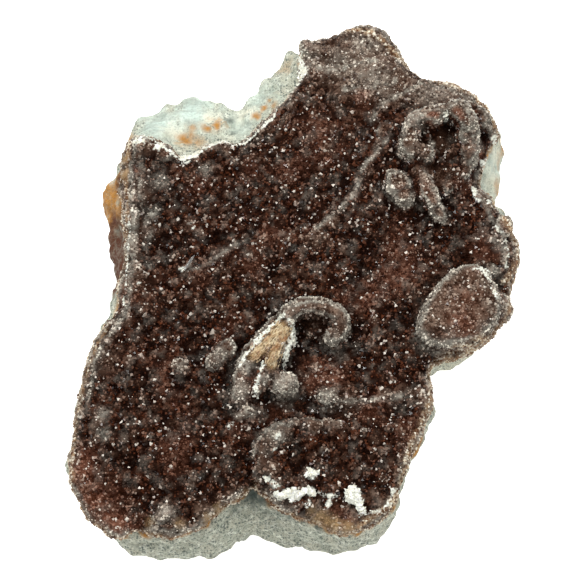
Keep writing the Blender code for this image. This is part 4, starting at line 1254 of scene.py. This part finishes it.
class MINERAL_OT_white(Operator):
    """Grow the white crystals on the rims and in the clusters"""

    bl_idname = "mineral.white"
    bl_label = "White Crystals"

    def execute(self, context):
        settings = context.scene.druse
        tree = bpy.data.node_groups["Crystal cover"]
        forms = crystal_forms("white_form", settings.seed + 3, cut_forms=2, octahedra=3, splinters=4)
        skin = bpy.data.objects["druse_skin"]
        chalk = read_mask(skin.data, "chalk")
        base = skin.data.copy()
        write_mask(base, "cover", np.where(chalk > 0.12, chalk, 0.0))
        write_mask(base, "growth", np.ones(len(chalk)))
        cover = {"Forms": forms, "Material": chalk_material(settings), "Seed": settings.seed + 9}
        rim = self.grow("white_rim_crystals", base, tree, cover, spacing=0.38, size=0.42)
        keep(rim, "white_crystals")
        for node, name, grain in WHITE_CLUSTERS:
            body = remeshed(node_copy(node, name + "_body"), CLUSTER_GRAIN)
            write_mask(body.data, "cover", np.ones(len(body.data.vertices)))
            write_mask(body.data, "growth", np.ones(len(body.data.vertices)))
            piece = self.grow(name, body.data, tree, cover, spacing=grain * 0.55, size=grain * 0.6)
            merge(piece, body)
            keep(piece, "white_crystals", node)
        discard(forms)
        return {"FINISHED"}

    def grow(self, name, mesh, tree, cover, spacing, size):
        """Runs the crystal tree on a copy of this mesh, with sizes in millimetres."""
        piece = new_object(name, mesh.copy())
        piece.data.attributes.new("field", "INT", "FACE")
        sizes = {"Spacing": spacing * MM, "Size": size * MM, "Size Spread": WHITE_SPREAD, "Field": 0}
        run_tree(piece, tree, cover | sizes)
        shade(piece.data, False)
        return piece


def merge(piece, other):
    """Puts another object's mesh into the piece's and removes that object."""
    body = bmesh.new()
    body.from_mesh(piece.data)
    body.from_mesh(other.data)
    body.to_mesh(piece.data)
    body.free()
    mesh = other.data
    bpy.data.objects.remove(other)
    bpy.data.meshes.remove(mesh)


def sliver(chance, length, width):
    """Corners of a thin fibre along X, pointed at its ends."""
    side = width * chance.uniform(0.6, 1.3, 4)
    middle = [
        (-0.3 * length, side[0], 0),
        (-0.3 * length, 0, side[1]),
        (-0.25 * length, -side[2], 0),
        (0.3 * length, side[1], 0),
        (0.3 * length, 0, side[2]),
        (0.25 * length, -side[3], 0),
    ]
    return [(-0.5 * length, 0, 0), (0.5 * length, 0, 0), (0.0, 0.0, -width), *middle]


class MINERAL_OT_core(Operator):
    """Lay the tan fibres of the hook's broken arm"""

    bl_idname = "mineral.core"
    bl_label = "Hook Core"

    def execute(self, context):
        settings = context.scene.druse
        chance = np.random.default_rng(settings.seed + 20)
        body = bmesh.new()
        tones = body.verts.layers.float.new("tone")
        skin = skin_finder(context)
        for half_width, count, line in CORE_LINES:
            corners = placed(line)
            steps = np.linalg.norm(np.diff(corners, axis=0), axis=1)
            for _ in range(count):
                number = chance.choice(len(steps), p=steps / steps.sum())
                share = chance.uniform()
                start, end = Vector(corners[number]), Vector(corners[number + 1])
                along = (end - start).normalized()
                across = along.cross(Vector((0, 0, 1))).normalized()
                middle = start.lerp(end, share) + across * chance.normal(0, 0.5) * half_width * MM
                hit, normal, _, _ = skin.ray_cast(middle + Vector((0, 0, 4 * MM)), Vector((0, 0, -1)))
                if hit is None:
                    continue
                turn = (along + across * chance.normal(0, 0.16)).normalized().to_track_quat("X", "Z")
                tone = chance.uniform()
                lift = normal * chance.uniform(-0.05, 0.22) * MM
                points = sliver(chance, chance.uniform(1.0, 2.6) * MM, chance.uniform(0.10, 0.24) * MM)
                verts = [body.verts.new(hit + lift + turn @ Vector(point)) for point in points]
                for vert in verts:
                    vert[tones] = tone
                bmesh.ops.convex_hull(body, input=verts)
        bmesh.ops.delete(body, geom=[v for v in body.verts if not v.link_faces], context="VERTS")
        bmesh.ops.recalc_face_normals(body, faces=body.faces)
        piece = new_object("hook_core", mesh_from(body, "hook_core"), core_material(settings))
        shade(piece.data, False)
        keep(piece, "sphalerite_druse")
        return {"FINISHED"}


class MINERAL_OT_prism(Operator):
    """Stand the one clear prism on the crust"""

    bl_idname = "mineral.prism"
    bl_label = "Clear Prism"

    def execute(self, context):
        foot, tip = (Vector(placed(point)) for point in (PRISM_FOOT, PRISM_TIP))
        length = (tip - foot).length
        turn = (tip - foot).to_track_quat("Z", "X")
        body = bmesh.new()
        rings = []
        for height, size in ((0.0, 1.0), (0.8, 0.92)):
            ring = []
            for number in range(6):
                angle = math.tau * number / 6
                across = PRISM_RADIUS * size
                spot = Vector((math.cos(angle) * across, math.sin(angle) * across, length * height))
                ring.append(body.verts.new(foot + turn @ spot))
            rings.append(ring)
        peak = body.verts.new(foot + turn @ Vector((0.05 * MM, 0, length)))
        body.faces.new(rings[0])
        for number in range(6):
            after = (number + 1) % 6
            body.faces.new((rings[0][number], rings[0][after], rings[1][after], rings[1][number]))
            body.faces.new((rings[1][number], rings[1][after], peak))
        bmesh.ops.recalc_face_normals(body, faces=body.faces)
        piece = new_object("clear_prism", mesh_from(body, "clear_prism"), prism_material())
        keep(piece, "white_crystals")
        return {"FINISHED"}


class MINERAL_OT_rock(Operator):
    """Make the broken pale rock with its stains"""

    bl_idname = "mineral.rock"
    bl_label = "Pale Rock"

    def execute(self, context):
        settings = context.scene.druse
        knob, lump, grain = (4.4 * MM, 1.7 * MM), (10.0 * MM, 2.8 * MM), (1.5 * MM, 1.0 * MM)
        values = relief_values(knob, lump, grain, swell=0.10 * MM, seed=settings.seed + 4)
        piece = roughened("matrix", "host_rock", settings.rock_grain, values, rounds=4)
        mesh = piece.data
        points = points_of(mesh)
        points[:, 2] = np.maximum(points[:, 2], 0.0)
        move_points(mesh, points)
        self.mark(mesh, context)
        shade(mesh, True)
        paint(mesh, rock_material(settings))
        keep(piece, "pale_rock", "matrix")
        return {"FINISHED"}

    def mark(self, mesh, context):
        """Works out the rock's stains and marks for each vertex, with painted shade among the dark marks and
        painted edge glow among the cream ones.
        """
        points = points_of(mesh)
        places = drawing(points)
        wobble = edge_wobble(places, ("stain edge", 4.0, 0.7), ("fine stain edge", 1.5, 0.5))
        skin = skin_finder(context)
        contact = np.zeros(len(points))
        for number, point in enumerate(points):
            found = skin.find_nearest(Vector(point), CONTACT_REACH)
            if found[0] is not None:
                contact[number] = 1 - found[3] / CONTACT_REACH
        stains = {name: ball_mask(places, spots, wobble) for name, spots in ROCK_MARKS.items()}
        rim = np.clip(contact * (0.9 + 0.8 * ripple(places, 5.0, "contact")) - 0.15, 0, 0.9)
        stains["ochre"] = np.maximum(stains["ochre"], rim)
        for name, values in stains.items():
            share = 1.0 if name in ("mint", "cream") else STAIN_GAIN
            write_mask(mesh, name, np.clip(values * share, 0, 1))


# Stage

# Name, azimuth and height above the horizon in degrees, distance and side in metres, and brightness.
LIGHTS = (
    ("Wide overhead", 190.0, 70.0, 0.75, 0.55, 0.42),
    ("Upper left key", 212.0, 55.0, 0.70, 0.10, 54.0),
    ("Upper lamp", 180.0, 48.0, 0.75, 0.09, 42.0),
    ("Upper right lamp", 146.0, 58.0, 0.75, 0.09, 42.0),
    ("Left lamp", 255.0, 50.0, 0.75, 0.09, 40.0),
    ("High left lamp", 235.0, 74.0, 0.70, 0.08, 42.0),
    ("Right lamp", 95.0, 50.0, 0.75, 0.09, 34.0),
    ("High right lamp", 110.0, 76.0, 0.70, 0.08, 36.0),
    ("Front left lamp", 320.0, 46.0, 0.80, 0.09, 34.0),
    ("Front lamp", 20.0, 50.0, 0.80, 0.10, 34.0),
)
# The place the camera looks at, its angle above the floor, its distance, and its lens and sensor width.
LOOK_AT = (0.0, 0.0, 20.0)
CAMERA_HEIGHT = 72.0
CAMERA_DISTANCE = 0.400
CAMERA_LENS = 100
CAMERA_SENSOR = 36
# Half the floor's side, how much it glows, and how bright the light from all round is.
FLOOR_HALF = 4.0
FLOOR_GLOW = 0.85
SKY_STRENGTH = 0.06


def around(target, azimuth, elevation, distance):
    """A place at this angle from a target; azimuth 0 is in front."""
    turn, rise = math.radians(azimuth), math.radians(elevation)
    back = Vector((math.sin(turn) * math.cos(rise), -math.cos(turn) * math.cos(rise), math.sin(rise)))
    return Vector(target) + back * distance


def aim(item, target):
    """Points a light or camera at a target."""
    direction = Vector(target) - item.location
    item.rotation_mode = "QUATERNION"
    item.rotation_quaternion = direction.to_track_quat("-Z", "Y")


class MINERAL_OT_stage(Operator):
    """Set the pale floor, the lamps and the camera"""

    bl_idname = "mineral.stage"
    bl_label = "Stage"

    def execute(self, context):
        scene = context.scene
        target = placed(LOOK_AT)
        self.floor()
        self.surroundings(scene)
        for name, azimuth, elevation, distance, side, brightness in LIGHTS:
            lamp = bpy.data.lights.new(name, "AREA")
            lamp.shape = "SQUARE"
            lamp.size = side
            lamp.energy = brightness * math.pi * side * side
            holder = new_object(name, lamp)
            holder.location = around(target, azimuth, elevation, distance)
            aim(holder, target)
        lens = bpy.data.cameras.new("Camera")
        lens.lens = CAMERA_LENS
        lens.sensor_width = CAMERA_SENSOR
        lens.clip_start = 0.01
        lens.clip_end = 20
        camera = new_object("Camera", lens)
        camera.location = around(target, 0.0, CAMERA_HEIGHT, CAMERA_DISTANCE)
        aim(camera, target)
        scene.camera = camera
        scene.view_settings.view_transform = "Standard"
        scene.view_settings.look = "None"
        return {"FINISHED"}

    def floor(self):
        """A wide pale floor that glows a little, like a lit table."""
        mesh = bpy.data.meshes.new("Floor")
        corners = [(x * FLOOR_HALF, y * FLOOR_HALF, 0) for x, y in ((-1, -1), (1, -1), (1, 1), (-1, 1))]
        mesh.from_pydata(corners, [], [(0, 1, 2, 3)])
        made, tree, shader = new_material("Pale floor")
        outputs = mottle(tree, cloud=3.0, speck=40.0, share=0.1)
        body = mixed(tree, outputs["Clouds"], (0.80, 0.80, 0.79, 1.0), (0.83, 0.83, 0.82, 1.0))
        glow = {"Emission Color": (1.0, 1.0, 0.985, 1.0), "Emission Strength": FLOOR_GLOW}
        join(tree, shader, {"Base Color": body, "Roughness": 0.9} | glow)
        new_object("Floor", mesh, made)

    def surroundings(self, scene):
        """Even dim light from all round."""
        world = bpy.data.worlds.new("Studio")
        world.use_nodes = True
        background = world.node_tree.nodes["Background"]
        join(world.node_tree, background, {"Color": (0.95, 0.97, 1.0, 1.0), "Strength": SKY_STRENGTH})
        scene.world = world


class MINERAL_PT_druse(Panel):
    """Sizes, colours and the steps that build the specimen"""

    bl_label = "Sphalerite Druse"
    bl_idname = "MINERAL_PT_druse"
    bl_space_type = "VIEW_3D"
    bl_region_type = "UI"
    bl_category = "Mineral"

    def draw(self, context):
        for name in DruseSettings.__annotations__:
            self.layout.prop(context.scene.druse, name)
        for step in STEPS:
            self.layout.operator(step.bl_idname)


STEPS = (
    MINERAL_OT_crust,
    MINERAL_OT_crystals,
    MINERAL_OT_white,
    MINERAL_OT_core,
    MINERAL_OT_prism,
    MINERAL_OT_rock,
    MINERAL_OT_stage,
)
CLASSES = (DruseSettings, *STEPS, MINERAL_PT_druse)


def register():
    """Adds the settings, steps and panel to Blender."""
    for item in CLASSES:
        bpy.utils.register_class(item)
    bpy.types.Scene.druse = PointerProperty(type=DruseSettings)


def unregister():
    """Takes them out again."""
    del bpy.types.Scene.druse
    for item in reversed(CLASSES):
        bpy.utils.unregister_class(item)


def main():
    """Builds the specimen step by step."""
    register()
    for step in STEPS:
        group, name = step.bl_idname.split(".")
        getattr(getattr(bpy.ops, group), name)()


if __name__ == "__main__":
    main()
